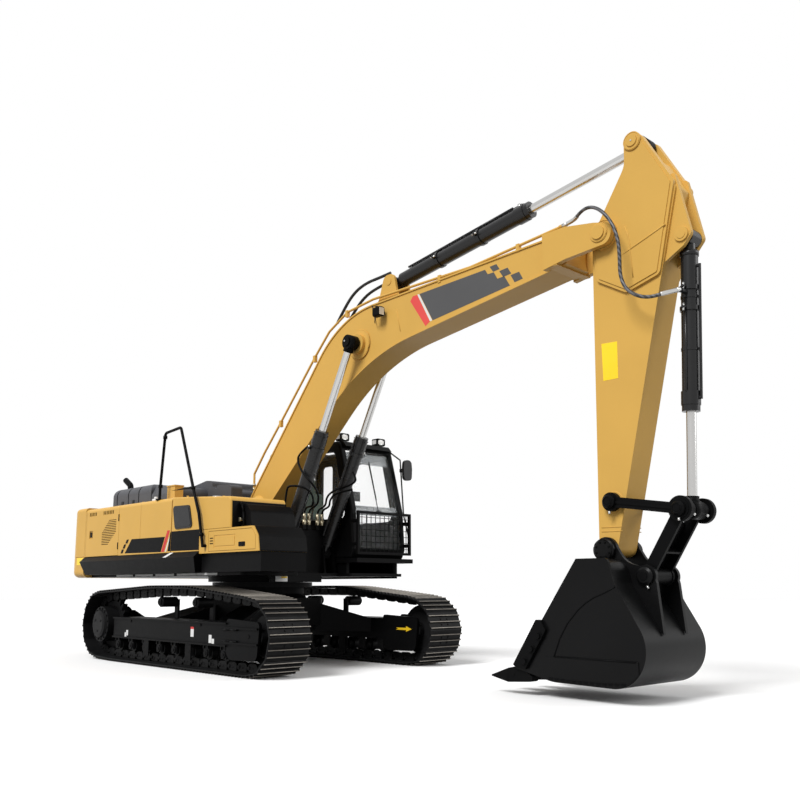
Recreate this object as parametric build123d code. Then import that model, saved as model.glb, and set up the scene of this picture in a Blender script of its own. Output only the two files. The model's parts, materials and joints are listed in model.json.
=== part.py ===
from build123d import *
from math import atan2, cos, degrees, hypot, pi, radians, sin, tan
import os

# Crawler excavator of the 30 tonne class, in millimetres.
# +X points forward (the boom's way), +Y to the machine's left, +Z up.
# The origin lies on the ground under the swing axis.

os.makedirs("parts", exist_ok=True)

# ------------------------------------------------------------------ driving sizes
# undercarriage
track_gauge = 2600
shoe_width = 600
shoe_count = 48
shoe_plate = 14
grouser_height = 26
grouser_base = 30
rail_height = 105
rail_width = 38
rail_gap = 84
idler_x, idler_z = 2000, 470
drive_x, drive_z = -1980, 510
drive_tip_radius = 490
carrier_xs = (-400, 520)
carrier_z, carrier_radius = 850, 70
roller_radius = 82
roller_first_x, roller_last_x, roller_count = -1500, 1310, 8
frame_rear_x, frame_front_x = -1620, 1400
frame_bottom, frame_top = 330, 620
frame_width = 380
bearing_radius, bearing_bottom, deck_bottom = 720, 1050, 1200
tow_eye_x, tow_eye_z, tow_eye_radius, tow_eye_half = 840, 600, 35, 20

# upper structure
deck_thickness = 40
half_width = 1485
tail_x = -3420
tail_corner = 380
weight_front_x = -2780
weight_bottom, weight_top = 1200, 2300
house_bottom, house_top = 1515, 2270
house_front_right, house_front_left, house_front_mid = -70, -640, -760
wall = 30
panel_round = 60
door_rear_x, door_front_x, door_lip = -2745, -1620, 60
side_seam_x = -950
hood_front_x, hood_rear_x, hood_half_width, hood_top = -1400, -2750, 1100, 2610
hood_round = 130
hood_grooves = (-2510, -2130, -1790)
cover_front_x, cover_inner_y = -560, 400
tank_front_x, tank_inner_y = 1400, -640
box_front_x, box_inner_y, box_top, box_bottom = 2035, -760, 1785, 1480
box_rear_x, box_door_x = 680, 900
skirt_bottom, skirt_ridge, skirt_out, skirt_in = 1240, 1440, 75, 85
skirt_rear_x, skirt_front_x = -2770, 670
rail_y, rail_out_y = 45 - half_width, -45 - half_width
deck_half = half_width - 135

# cab
cab_inner_y, cab_outer_y = 460, 1470
cab_floor, cab_roof = 1450, 3130
cab_rear_x, cab_front_x, cab_brow_x = -560, 1480, 1160
cab_wall = 45
sill_z = 2130

# front equipment, pins as (x, z)
boom_foot = (90, 2150)
boom_tip = (6120, 4550)
boom_lift_base = (970, 1520)
boom_lift_eye = (2360, 4180)
arm_lift_base = (2850, 4930)
arm_lift_eye = (6480, 5430)
bucket_lift_base = (6920, 4340)
bucket_pin = (6000, 1400)
idler_link_pin = (6080, 1860)
link_pin = (6800, 1750)
bucket_link_pin = (6420, 1150)
boom_half = 200
flange_out, flange_thick = 14, 18
fork_half = 305
fork_plate = 65
arm_half = 165
head_half = 200
lift_y = 350
bucket_half, bucket_plate = 530, 28
ear_inner_y, ear_plate = 177, 40
side_play = 6
gap = 6

# ------------------------------------------------------------------ shape helpers


def rounded(rows):
    """Flat face from (u, v, corner radius) rows, in order round the outline."""
    corners = [Vector(u, v) for u, v, r in rows]
    ends = []
    for i, (u, v, r) in enumerate(rows):
        here = corners[i]
        if r <= 0:
            ends.append((here, None, here))
            continue
        back = (corners[i - 1] - here).normalized()
        on = (corners[(i + 1) % len(rows)] - here).normalized()
        half = radians(back.get_angle(on)) / 2
        reach = r / tan(half)
        middle = here + (back + on).normalized() * (r / sin(half) - r)
        ends.append((here + back * reach, middle, here + on * reach))
    edges = []
    for i, (start, middle, end) in enumerate(ends):
        if middle is not None:
            edges.append(ThreePointArc(start, middle, end))
        following = ends[(i + 1) % len(ends)][0]
        if (following - end).length > 0.001:
            edges.append(Line(end, following))
    return make_face(Wire(edges))


def inset(rows, by):
    """The same outline moved inward; by is one distance, or one for the side after each corner."""
    sides = by if isinstance(by, list) else [by] * len(rows)
    twice_area = sum(a[0] * b[1] - b[0] * a[1] for a, b in zip(rows, rows[1:] + rows[:1]))
    turn = 1 if twice_area > 0 else -1
    moved = []
    for i, (u, v, r) in enumerate(rows):
        back = (Vector(u, v) - Vector(*rows[i - 1][:2])).normalized()
        on = (Vector(*rows[(i + 1) % len(rows)][:2]) - Vector(u, v)).normalized()
        back_in = Vector(-back.Y, back.X) * turn
        on_in = Vector(-on.Y, on.X) * turn
        cross = back.X * on.Y - back.Y * on.X
        along = (sides[i] - sides[i - 1] * on_in.dot(back_in)) / (on_in.dot(back))
        corner = Vector(u, v) + back_in * sides[i - 1] + back * along
        bulge = sides[i] if cross * turn > 0 else -sides[i]
        moved.append((corner.X, corner.Y, max(r - bulge, 0) if r > 0 else 0))
    return moved


def side_slab(face, y0, y1):
    """Extrude a face drawn in X and Z from y0 to y1."""
    return extrude(Plane.XZ.offset(-y1) * face, amount=y1 - y0)


def plan_slab(face, z0, z1):
    """Extrude a face drawn in X and Y from z0 to z1."""
    return extrude(Plane.XY.offset(z0) * face, amount=z1 - z0)


def block(x0, x1, y0, y1, z0, z1):
    return Pos((x0 + x1) / 2, (y0 + y1) / 2, (z0 + z1) / 2) * Box(x1 - x0, y1 - y0, z1 - z0)


def disc(at, radius, y0, y1):
    """Round bar along Y with its middle at (x, z)."""
    return side_slab(Pos(*at) * Circle(radius), y0, y1)


def turned(at, rows):
    """Solid of revolution about the line along Y through (x, z), from (radius, y) rows."""
    profile = [(0, rows[0][1])] + list(rows) + [(0, rows[-1][1])]
    return Pos(at[0], 0, at[1]) * revolve(make_face(Polyline(*profile, close=True)), Axis.Y)


def bar(start, end, radius):
    """Round bar between two points in space."""
    start, end = Vector(*start), Vector(*end)
    return extrude(Plane(origin=start, z_dir=end - start) * Circle(radius), amount=(end - start).length)


def pipe(points, radius, bend):
    """Bent round tube along points, every corner with the same bend radius."""
    path = FilletPolyline(*points, radius=bend)
    return sweep(Plane(origin=path @ 0, z_dir=path % 0) * Circle(radius), path=path)


def both_sides(shape):
    return shape + mirror(shape, about=Plane.XZ)


def on_left(shape):
    return mirror(shape, about=Plane.XZ)


def save(name, shape):
    if isinstance(shape, (list, ShapeList)):
        shape = Compound(children=list(shape))
    export_step(shape, f"parts/{name}.step")


# ------------------------------------------------------------------ tracks

shoe_outer = grouser_height + shoe_plate
rail_bottom = shoe_outer + rail_height
pin_depth = shoe_outer + rail_height / 2
roller_z = rail_bottom + roller_radius + 3
idler_tip_radius = idler_z


def taut_loop():
    """Pin line of the chain: the shortest loop round all wheels, as close points."""
    wheels = [
        (idler_x, idler_z, idler_tip_radius),
        (drive_x, drive_z, drive_tip_radius),
        (roller_first_x, roller_z, roller_z),
        (roller_last_x, roller_z, roller_z),
    ]
    wheels += [(x, carrier_z, carrier_radius + rail_bottom + 10) for x in carrier_xs]
    cloud = []
    for x, z, tip_radius in wheels:
        for step in range(720):
            a = step * pi / 360
            cloud.append((x + (tip_radius - pin_depth) * cos(a), z + (tip_radius - pin_depth) * sin(a)))
    cloud = sorted(set(cloud))

    def chain_of(points):
        kept = []
        for p in points:
            while len(kept) > 1:
                (ax, az), (bx, bz) = kept[-2], kept[-1]
                if (bx - ax) * (p[1] - az) - (bz - az) * (p[0] - ax) > 0:
                    break
                kept.pop()
            kept.append(p)
        return kept[:-1]

    return chain_of(cloud) + chain_of(reversed(cloud))


def pins_on(loop, count):
    """Points at equal steps along a closed line."""
    spans = [hypot(b[0] - a[0], b[1] - a[1]) for a, b in zip(loop, loop[1:] + loop[:1])]
    step = sum(spans) / count
    pins, travelled, due = [], 0, 0
    for (a, b), span in zip(zip(loop, loop[1:] + loop[:1]), spans):
        while due <= travelled + span and len(pins) < count:
            t = (due - travelled) / span
            pins.append((a[0] + (b[0] - a[0]) * t, a[1] + (b[1] - a[1]) * t))
            due += step
        travelled += span
    return pins


def offset_corner(pins, i, out):
    """Corner of the loop moved outward by a distance, mitred between its two links."""
    before, here, after = pins[i - 1], pins[i], pins[(i + 1) % len(pins)]
    a = atan2(here[1] - before[1], here[0] - before[0]) - pi / 2
    b = atan2(after[1] - here[1], after[0] - here[0]) - pi / 2
    turn = (b - a + pi) % (2 * pi) - pi
    reach = out / cos(turn / 2)
    return (here[0] + reach * cos(a + turn / 2), here[1] + reach * sin(a + turn / 2))


pins = pins_on(taut_loop(), shoe_count)
plate_in = rail_height / 2
plate_out = plate_in + shoe_plate
grouser_places = (0.14, 0.47, 0.80)  # share of a shoe's length, three grousers a shoe


def shoe_outline():
    """Outer side of all shoes: plates with three tapered grousers each."""
    points = []
    for i in range(shoe_count):
        a = offset_corner(pins, i, plate_out)
        b = offset_corner(pins, (i + 1) % shoe_count, plate_out)
        length = hypot(b[0] - a[0], b[1] - a[1])
        ux, uz = (b[0] - a[0]) / length, (b[1] - a[1]) / length
        points.append(a)
        for share in grouser_places:
            for along, out in ((-grouser_base / 2, 0), (0, grouser_height), (grouser_base / 2, 0)):
                s = share * length + along
                points.append((a[0] + ux * s + uz * out, a[1] + uz * s - ux * out))
    return points


def ring_face(outer, inner):
    return make_face(Polyline(*outer, close=True)) - make_face(Polyline(*inner, close=True))


inner_plate_line = [offset_corner(pins, i, plate_in) for i in range(shoe_count)]
inner_rail_line = [offset_corner(pins, i, -rail_height / 2) for i in range(shoe_count)]
rail_root_line = [offset_corner(pins, i, plate_in + 2) for i in range(shoe_count)]
belt = side_slab(ring_face(shoe_outline(), inner_plate_line), -shoe_width / 2, shoe_width / 2)
for side in (-1, 1):
    y0, y1 = sorted((side * rail_gap / 2, side * (rail_gap / 2 + rail_width)))
    belt += side_slab(ring_face(rail_root_line, inner_rail_line), y0, y1)

# wheels of one side, their middle plane at y = 0 and the outer side at negative y
tongue = rail_gap / 2 - side_play
drive = turned((drive_x, drive_z), [
    (150, -274), (196, -262), (210, -232), (255, -230), (255, -tongue), (345, -tongue), (345, tongue),
    (255, tongue), (255, 190)])
tooth_count, tooth_tip = 23, 425
tooth = rounded([(-34, 330, 0), (-12, tooth_tip, 0), (12, tooth_tip, 0), (34, 330, 0)])
for i in range(tooth_count):
    drive += side_slab(Pos(drive_x, drive_z) * Rot(0, 0, 360 / tooth_count * i) * tooth, -tongue, tongue)
idler_pin_radius = idler_tip_radius - pin_depth
link_pitch = hypot(pins[1][0] - pins[0][0], pins[1][1] - pins[0][1])
chord_drop = idler_pin_radius - (idler_pin_radius ** 2 - (link_pitch / 2) ** 2) ** 0.5
idler_tread = idler_tip_radius - rail_bottom - chord_drop - 2
idler_wheel = turned((idler_x, idler_z), [
    (90, -145), (90, -60), (idler_tread - 60, -45), (idler_tread, -75), (idler_tread, -34),
    (idler_tread + 30, -30), (idler_tread + 30, 30), (idler_tread, 34), (idler_tread, 75),
    (idler_tread - 60, 45), (90, 60), (90, 145)])
wheels = [drive, idler_wheel]
for x in carrier_xs:
    carrier = turned((x, carrier_z), [
        (carrier_radius - 12, -120), (carrier_radius, -108), (carrier_radius, 120), (40, 120), (40, 150)])
    carrier += block(x - 45, x + 45, 130, 160, frame_top, carrier_z + 35)
    wheels.append(carrier)
roller_step = (roller_last_x - roller_first_x) / (roller_count - 1)
roller_xs = [roller_first_x + roller_step * i for i in range(roller_count)]
roller_stop = 170
for x in roller_xs:
    half_profile = [(45, -165), (45, -125), (roller_radius, -125), (roller_radius, -tongue), (roller_radius + 16, -tongue)]
    roller = turned((x, roller_z), half_profile + [(r, -y) for r, y in reversed(half_profile)])
    roller += both_sides(block(x - 60, x + 60, 140, roller_stop, roller_z - 50, frame_bottom))
    wheels.append(roller)

# track frame of one side, outer side at negative y
frame_outer_y = -frame_width / 2
frame = side_slab(rounded([
    (frame_rear_x, frame_bottom, 15), (frame_front_x, frame_bottom, 15),
    (frame_front_x, frame_top, 15), (frame_rear_x, frame_top, 15)]), frame_outer_y, frame_width / 2)
ledge = 22
for z0, z1 in ((frame_bottom, frame_bottom + ledge), (frame_top - ledge, frame_top)):
    frame += block(frame_rear_x, frame_front_x, frame_outer_y - ledge, frame_outer_y, z0, z1)
yoke = rounded([(frame_front_x - 10, 175, 120), (idler_x + 40, 190, 90), (idler_x + 90, 640, 60),
                (frame_front_x - 10, 670, 40)])
for y0 in (frame_outer_y, 150):
    frame += side_slab(yoke, y0, y0 + 40)
for z in (380, 560):
    frame += block(frame_front_x - 60, idler_x + 60, frame_outer_y - 20, frame_outer_y, z - 12, z + 12)
motor_plate = rounded([(frame_rear_x + 100, frame_bottom, 0), (frame_rear_x + 100, frame_top, 0),
                       (drive_x + 120, drive_z + 210, 90), (drive_x - 150, drive_z, 110),
                       (drive_x + 120, drive_z - 210, 90)])
frame -= disc((drive_x, drive_z), tooth_tip + 15, -rail_gap / 2, rail_gap / 2)
frame += side_slab(motor_plate, 205, 240)
frame += block(frame_rear_x, frame_rear_x + 110, 150, 240, frame_bottom, frame_top)
for guard_x0, guard_x1 in ((-700, -560), (420, 560)):
    frame += both_sides(block(guard_x0, guard_x1, roller_stop + side_play, roller_stop + 20, 120, frame_bottom))
to_right = Pos(0, -track_gauge / 2, 0)
save("track_right", to_right * belt)
save("track_left", on_left(to_right * belt))
save("track_wheels", [to_right * w for w in wheels] + [on_left(to_right * w) for w in wheels])
save("track_frames", [to_right * frame, on_left(to_right * frame)])

# ------------------------------------------------------------------ car body and bearing

frame_inner_y = track_gauge / 2 - frame_width / 2
car_bottom, car_top, car_half_x, car_half_y = 520, 900, 760, 560
car = plan_slab(rounded([
    (-car_half_x, -car_half_y, 120), (car_half_x, -car_half_y, 120), (car_half_x, car_half_y, 120),
    (-car_half_x, car_half_y, 120)]), car_bottom, car_top)
leg = loft([
    Plane.XZ.offset(-430) * rounded([(250, 450, 0), (720, 450, 0), (720, 840, 0), (250, 840, 0)]),
    Plane.XZ.offset(-frame_inner_y) * rounded([(520, 420, 0), (1130, 420, 0), (1130, 610, 0), (520, 610, 0)])])
legs = leg + mirror(leg, about=Plane.YZ)
car += both_sides(legs)
ring_rows = [(640, car_top), (600, 960), (600, bearing_bottom), (0, bearing_bottom), (0, car_top)]
car += revolve(Plane.XZ * make_face(Polyline(*ring_rows, close=True)), Axis.Z)
tow_lug = plan_slab(rounded([
    (car_half_x - 10, -110, 0), (tow_eye_x + 20, -110, 90), (tow_eye_x + 95, 0, 95), (tow_eye_x + 20, 110, 90),
    (car_half_x - 10, 110, 0)]), tow_eye_z - tow_eye_half, tow_eye_z + tow_eye_half)
tow_lug -= Pos(tow_eye_x, 0, tow_eye_z) * Cylinder(tow_eye_radius, 3 * tow_eye_half)
car += tow_lug
car += mirror(tow_lug, about=Plane.YZ)
save("car_body", car)
ring = Pos(0, 0, bearing_bottom + 35) * (Cylinder(bearing_radius, 70) - Cylinder(540, 70))
save("swing_bearing", ring)

# ------------------------------------------------------------------ platform

deck_top = deck_bottom + deck_thickness
deck_front_x = 1500
foot_x, foot_z = boom_foot
lift_x, lift_z = boom_lift_base
platform = plan_slab(rounded([
    (weight_front_x, -deck_half, 30), (deck_front_x, -deck_half, 60), (deck_front_x, -480, 40), (1250, -480, 0),
    (1250, 400, 0), (deck_front_x, 400, 40), (deck_front_x, deck_half + 50, 60),
    (weight_front_x, deck_half + 50, 30)]),
    deck_bottom, deck_top)
turntable_bottom = bearing_bottom + 76
platform += Pos(0, 0, (turntable_bottom + deck_bottom) / 2) * Cylinder(780, deck_bottom - turntable_bottom)
foot_ear_inner, foot_ear_outer = fork_half + side_play, fork_half + 60
foot_ear = rounded([
    (foot_x - 420, deck_top, 0), (foot_x + 360, deck_top, 0), (foot_x + 230, foot_z - 260, 300),
    (foot_x + 175, foot_z + 175, 150), (foot_x - 175, foot_z + 175, 150), (foot_x - 260, foot_z - 400, 400)])
boss_rows = [(90, foot_ear_outer - 1), (90, foot_ear_outer + 18), (70, foot_ear_outer + 18), (70, foot_ear_outer + 34)]
platform += both_sides(side_slab(foot_ear, foot_ear_inner, foot_ear_outer) + turned(boom_foot, boss_rows))
lift_lug = rounded([(lift_x - 200, deck_top, 0), (lift_x + 160, deck_top, 0), (lift_x + 110, lift_z + 110, 100),
                    (lift_x - 110, lift_z + 110, 100)])
lug_gap, lug_plate, lift_pin_radius = 75, 30, 45
for y in (lift_y - lug_gap - lug_plate, lift_y + lug_gap):
    platform += both_sides(side_slab(lift_lug, y, y + lug_plate))
platform += both_sides(disc(boom_lift_base, lift_pin_radius, lift_y - lug_gap - lug_plate,
                            lift_y + lug_gap + lug_plate))
for y, front_x in ((10 - deck_half, 560), (deck_half - 10, -700)):
    platform += block(-2600, front_x, y - 40, y + 40, deck_top, house_bottom)
platform += block(cab_rear_x - 40, 1560, cab_inner_y + 10, cab_outer_y + 70, cab_floor - 60, cab_floor)
platform += plan_slab(rounded([(-635, 1330, 0), (1380, 1330, 44), (1380, 1420, 44), (-635, 1420, 0)]),
                      deck_bottom - 25, cab_floor - 60)
platform += block(300, 1300, 500, 550, deck_top, cab_floor - 60)
save("platform", platform)

# ------------------------------------------------------------------ counterweight and engine

weight_rows = [(weight_front_x, -half_width, 0), (tail_x, -half_width, tail_corner),
               (tail_x, half_width, tail_corner), (weight_front_x, half_width, 0)]
weight = plan_slab(rounded(weight_rows), weight_bottom, weight_top)
weight_faces = weight.faces().sort_by(Axis.Z)


def behind_front(edge):
    """True off the counterweight's flat front face."""
    return edge.center().X < weight_front_x - 1


weight = fillet(weight_faces[-1].edges().filter_by(behind_front), panel_round)
weight = fillet(weight.faces().sort_by(Axis.Z)[0].edges().filter_by(behind_front), 90)
seam_depth, seam_height = 10, 8
weight -= plan_slab(rounded(weight_rows) - rounded(inset(weight_rows, [seam_depth, seam_depth, seam_depth, 0])),
                    house_bottom, house_bottom + seam_height)
save("counterweight", weight)

engine_mount = block(-2250, -1750, -600, 600, deck_top, 1420)
save("engine", block(-2350, -1650, -700, 650, 1420, 2150) + engine_mount)

# ------------------------------------------------------------------ housing, doors and hoods

house_rows = [(weight_front_x + 5, -half_width, 0), (house_front_right, -half_width, 0),
              (house_front_right, -500, 0), (house_front_mid, -500, 0), (house_front_mid, 420, 0),
              (house_front_left, 420, 0), (house_front_left, half_width, 0),
              (weight_front_x + 5, half_width, 0)]
house = plan_slab(rounded(house_rows), house_bottom, house_top)
top_side_edges = house.edges().filter_by(Axis.X).filter_by(
    lambda edge: edge.center().Z > house_top - 1 and abs(edge.center().Y) > half_width - 1)
house = fillet(top_side_edges, panel_round)
house -= plan_slab(rounded(inset(house_rows, wall)), house_bottom - 1, house_top - wall)
house -= block(hood_rear_x + wall, hood_front_x - wall, wall - hood_half_width, hood_half_width - wall,
               house_top - wall - 1, house_top + 1)
seam_block = block(side_seam_x - 3, side_seam_x + 3, -half_width - 1, 6 - half_width, house_bottom - 1, house_top + 1)
house -= both_sides(seam_block)

# each service door is a stretch of the wall with the rounded edge above it
door_range = block(door_rear_x, door_front_x, -half_width - 1, door_lip - half_width, house_bottom - 1, house_top + 1)
door_body = house & block(door_rear_x + gap, door_front_x - gap, -half_width - 1, door_lip - half_width - gap,
                          house_bottom + gap, house_top + 1)
house -= both_sides(door_range)
post_x0, post_x1, post_y0, post_y1, post_top = -570, -340, 185 - half_width, 335 - half_width, 2465
house += block(post_x0 + 8, post_x1 - 8, post_y0 + 8, post_y1 - 8, house_top - wall, post_top)
house += block(post_x0, post_x1, post_y0, post_y1, post_top, post_top + 18)
save("machine_house", house)

# a slanted grille of level slots, two groups of louvres and a latch recess in each door
grille_bottom, grille_top, grille_rows, slot_height, slot_depth = 1690, 2050, 15, 11, 14
grille_rear_x, grille_width, grille_shift, grille_waist = -2185, 225, 245, 0.5
for i in range(grille_rows):
    share = i / (grille_rows - 1)
    slot_rear = grille_rear_x + grille_shift * max(share - grille_waist, 0) * 2 * 0.9
    slot_front = grille_rear_x + grille_width + grille_shift * min(share * 2, 1)
    z = grille_bottom + (grille_top - grille_bottom) * share
    door_body -= block(slot_rear, slot_front, -half_width - 1, slot_depth - half_width, z, z + slot_height)
louvre_groups = ((-2650, -2370), (-2170, -1760))
louvre_pitch, louvre_z, louvre_half = 52, 2150, 16
for x0, x1 in louvre_groups:
    for i in range(int((x1 - x0) / louvre_pitch)):
        x = x0 + louvre_pitch * (i + 0.5)
        door_body -= block(x - louvre_half, x + louvre_half, -half_width - 1, slot_depth - half_width,
                           louvre_z, louvre_z + 55)
latch_x, latch_z = -2560, 1860
door_body -= block(latch_x - 60, latch_x + 60, -half_width - 1, 12 - half_width, latch_z - 60, latch_z + 60)
door_body += block(latch_x + 5, latch_x + 45, 3 - half_width, 14 - half_width, latch_z - 45, latch_z + 45)
save("side_door_right", door_body)
save("side_door_left", on_left(door_body))


def hood_shell(drop):
    """Box with round upper and rear edges, every face moved inward by a distance."""
    body = block(hood_rear_x + drop, hood_front_x - drop, drop - hood_half_width, hood_half_width - drop,
                 house_top + 4, hood_top - drop)
    upper = body.faces().sort_by(Axis.Z)[-1].edges()
    rear = body.faces().sort_by(Axis.X)[0].edges().filter_by(Axis.Z)
    return fillet(upper + rear, hood_round - drop)


groove_depth, groove_half = 14, 16
hood = hood_shell(0)
groove_ring = hood_shell(0) - hood_shell(groove_depth)
for x in hood_grooves:
    hood -= groove_ring & block(x - groove_half, x + groove_half, -2000, 2000, house_top, hood_top + 1)
hood_inner = hood_shell(wall)
hood -= Pos(0, 0, -8) * hood_inner + hood_inner
save("engine_hood", hood)
stub_x, stub_y, stub_radius = -2560, 250 - hood_half_width, 48
save("exhaust_stub", pipe([(stub_x, stub_y, hood_top - 24), (stub_x - 15, stub_y, 2690), (stub_x - 190, stub_y, 2790)],
                          stub_radius, 60) - hood)

cover_rows = [(hood_front_x + 20, house_top, 0), (cover_front_x, house_top, 0), (cover_front_x, 2490, 110),
              (hood_front_x + 20, 2590, 30)]
cover = side_slab(rounded(cover_rows), -hood_half_width, cover_inner_y)
cover_across = rounded([(-hood_half_width, house_top, 0), (cover_inner_y, house_top, 0), (cover_inner_y, 2420, 80),
                        (cover_inner_y - 90, 2600, 60), (90 - hood_half_width, 2600, 60), (-hood_half_width, 2420, 80)])
cover &= extrude(Plane.YZ.offset(hood_front_x) * cover_across, amount=cover_front_x - hood_front_x)
hump_rows = [(-1120, house_top, 0), (-330, house_top, 0), (-330, 2470, 60), (-440, 2500, 30), (-450, 2600, 60),
             (-620, 2615, 200), (-1120, 2540, 80)]
cover += side_slab(rounded(hump_rows), -620, 330)
lobe_rows = [(-340, house_top, 0), (60, house_top, 0), (60, 2500, 60), (-340, 2530, 60)]
cover += side_slab(rounded(lobe_rows), -620, -430)
save("valve_hood", cover)

# ------------------------------------------------------------------ skirts, tank, tool box and rails

skirt_rows = [(-half_width, house_bottom - 5, 0), (-half_width - skirt_out, skirt_ridge, 0), (-half_width - 15, skirt_bottom, 0),
              (skirt_in - half_width, skirt_bottom, 0), (skirt_in - half_width, house_bottom - 5, 0)]
skirt = extrude(Plane.YZ.offset(skirt_rear_x) * rounded(skirt_rows), amount=skirt_front_x - skirt_rear_x)
skirt_end = rounded([(skirt_rear_x - 1, skirt_bottom - 1, 0), (skirt_rear_x + 100, skirt_bottom - 1, 0),
                     (skirt_rear_x, skirt_ridge, 0), (skirt_rear_x - 1, skirt_ridge, 0)])
skirt -= side_slab(skirt_end, -half_width - 200, 200 - half_width)
left_skirt = on_left(skirt) & block(-4000, house_front_left, 0, 3000, 0, 3000)
front_end = rounded([(skirt_front_x + 1, skirt_bottom - 1, 0), (skirt_front_x - 50, skirt_bottom - 1, 0),
                     (skirt_front_x, skirt_ridge, 0), (skirt_front_x + 1, skirt_ridge, 0)])
skirt -= side_slab(front_end, -half_width - 200, 200 - half_width)
front_skirt = block(skirt_front_x + 8, box_front_x - 20, 45 - half_width, box_inner_y, skirt_bottom, box_bottom - 3)
save("side_skirts", [front_skirt, skirt, left_skirt])

tank_rear_x = house_front_right + 8
tank_rows = [(tank_rear_x, house_bottom, 0), (box_rear_x - 5, house_bottom, 0), (box_rear_x - 5, box_top + 5, 0),
             (tank_front_x, box_top + 5, 0), (tank_front_x - 8, 2180, 60), (tank_rear_x, house_top, 40)]
tank = side_slab(rounded(tank_rows), -half_width, tank_inner_y)
tank_side = tank.faces().sort_by(Axis.Y)[0].edges().filter_by(lambda edge: edge.center().Z > box_top + 20)
tank = fillet(tank_side.filter_by(lambda edge: edge.center().X > 0), 22)
tank_cap = Pos(300, -1000, 2235) * Cylinder(90, 60)
save("fuel_tank", tank + tank_cap)
box_rows = [(box_rear_x, box_bottom, 0), (box_front_x, box_bottom, 0), (box_front_x - 30, 1660, 60),
            (box_front_x - 130, box_top, 70), (box_rear_x, box_top, 0)]
box_wall = 25
box_body = side_slab(rounded(box_rows), -half_width, box_inner_y)
box_body -= side_slab(rounded(inset(box_rows, box_wall)), box_wall - half_width, box_inner_y - box_wall)
box_door_rows = [(box_door_x, box_bottom + 20, 0), (box_front_x - 75, box_bottom + 20, 0),
                 (box_front_x - 75, 1670, 0), (box_front_x - 160, box_top - 25, 0), (box_door_x, box_top - 25, 0)]
box_body -= side_slab(rounded(box_door_rows), -half_width - 1, box_wall - half_width)
save("tool_box", box_body)
box_door = side_slab(rounded(inset(box_door_rows, gap)), -half_width, box_wall - half_width - 1)
emboss = block(box_door_x + 130, box_door_x + 620, -half_width - 1, 5 - half_width, 1545, 1700)
emboss -= block(box_door_x + 150, box_door_x + 600, -half_width - 1, 6 - half_width, 1565, 1680)
save("tool_box_door", box_door - emboss)
step_rows = [(tank_front_x + 5, box_top + 6, 0), (1635, box_top + 6, 0), (1590, 1990, 120), (1500, 2085, 30),
             (tank_front_x + 5, 2090, 0)]
save("step_box", side_slab(rounded(step_rows), 165 - half_width, tank_inner_y))

rail_radius = 20
rail = pipe([(-505, rail_y, house_top - 15), (-500, rail_y, 2420), (-410, rail_y, 3210), (20, rail_y, 3240),
             (555, rail_out_y, 2345), (720, rail_out_y, 2000), (840, rail_out_y, 1560)], rail_radius, 60)
rail += bar((840, rail_out_y, 1575), (840, -half_width, 1575), rail_radius)
brace = rounded([(0, 2352, 0), (550, 2334, 0), (550, 2370, 0)])
save("handrails", rail + side_slab(brace, rail_out_y - 8, rail_out_y + 8) - house)

# ------------------------------------------------------------------ cab

cab_side = [(cab_rear_x, cab_floor, 30), (cab_front_x - 60, cab_floor, 40), (cab_front_x, cab_floor + 120, 60),
            (cab_front_x - 40, sill_z, 100), (cab_brow_x, cab_roof, 120), (cab_rear_x, cab_roof, 90)]
shell = side_slab(rounded(cab_side), cab_inner_y, cab_outer_y)
roof_edges = shell.edges().filter_by(Axis.X).filter_by(lambda edge: edge.center().Z > cab_roof - 1)
shell = fillet(roof_edges, 30)
shell -= side_slab(rounded(inset(cab_side, cab_wall)), cab_inner_y + cab_wall, cab_outer_y - cab_wall)
door_low, door_back, door_top = cab_floor + 60, -60, cab_roof - 110
door_rows = [(door_back, door_low, 60), (cab_front_x - 230, door_low, 60), (cab_front_x - 130, sill_z, 120),
             (cab_brow_x - 90, door_top, 110), (door_back, door_top, 90)]
shell -= side_slab(rounded(door_rows), cab_outer_y - cab_wall - 1, cab_outer_y + 1)
right_window = [(-440, sill_z - 120, 60), (cab_front_x - 160, sill_z - 120, 80), (cab_brow_x - 90, cab_roof - 150, 110),
                (-440, cab_roof - 150, 90)]
shell -= side_slab(rounded(right_window), cab_inner_y - 1, cab_inner_y + cab_wall + 1)
left_window = [(-440, sill_z, 60), (-160, sill_z, 60), (-160, cab_roof - 150, 60), (-440, cab_roof - 150, 60)]
shell -= side_slab(rounded(left_window), cab_outer_y - cab_wall - 1, cab_outer_y + 1)
mid_y = (cab_inner_y + cab_outer_y) / 2
pane_half = (cab_outer_y - cab_inner_y) / 2 - 85
shell -= block(cab_brow_x - 100, cab_front_x + 100, mid_y - pane_half, mid_y + pane_half, cab_floor + 130, cab_roof - 130)
shell -= block(cab_rear_x - 10, cab_rear_x + cab_wall + 10, mid_y - pane_half, mid_y + pane_half, sill_z + 100, cab_roof - 170)
shell -= block(cab_rear_x + 500, cab_brow_x - 330, mid_y - 300, mid_y + 300, cab_roof - cab_wall - 1, cab_roof + 1)
visor = rounded([(cab_brow_x - 60, cab_roof - 12, 0), (cab_brow_x + 30, cab_roof - 60, 0), (cab_brow_x + 60, cab_roof - 90, 0),
                 (cab_brow_x + 90, cab_roof - 78, 0), (cab_brow_x + 20, cab_roof - 4, 40), (cab_brow_x - 60, cab_roof + 8, 0)])
shell += side_slab(visor, cab_inner_y + 60, cab_outer_y - 60)
save("cab_shell", shell)

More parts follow.
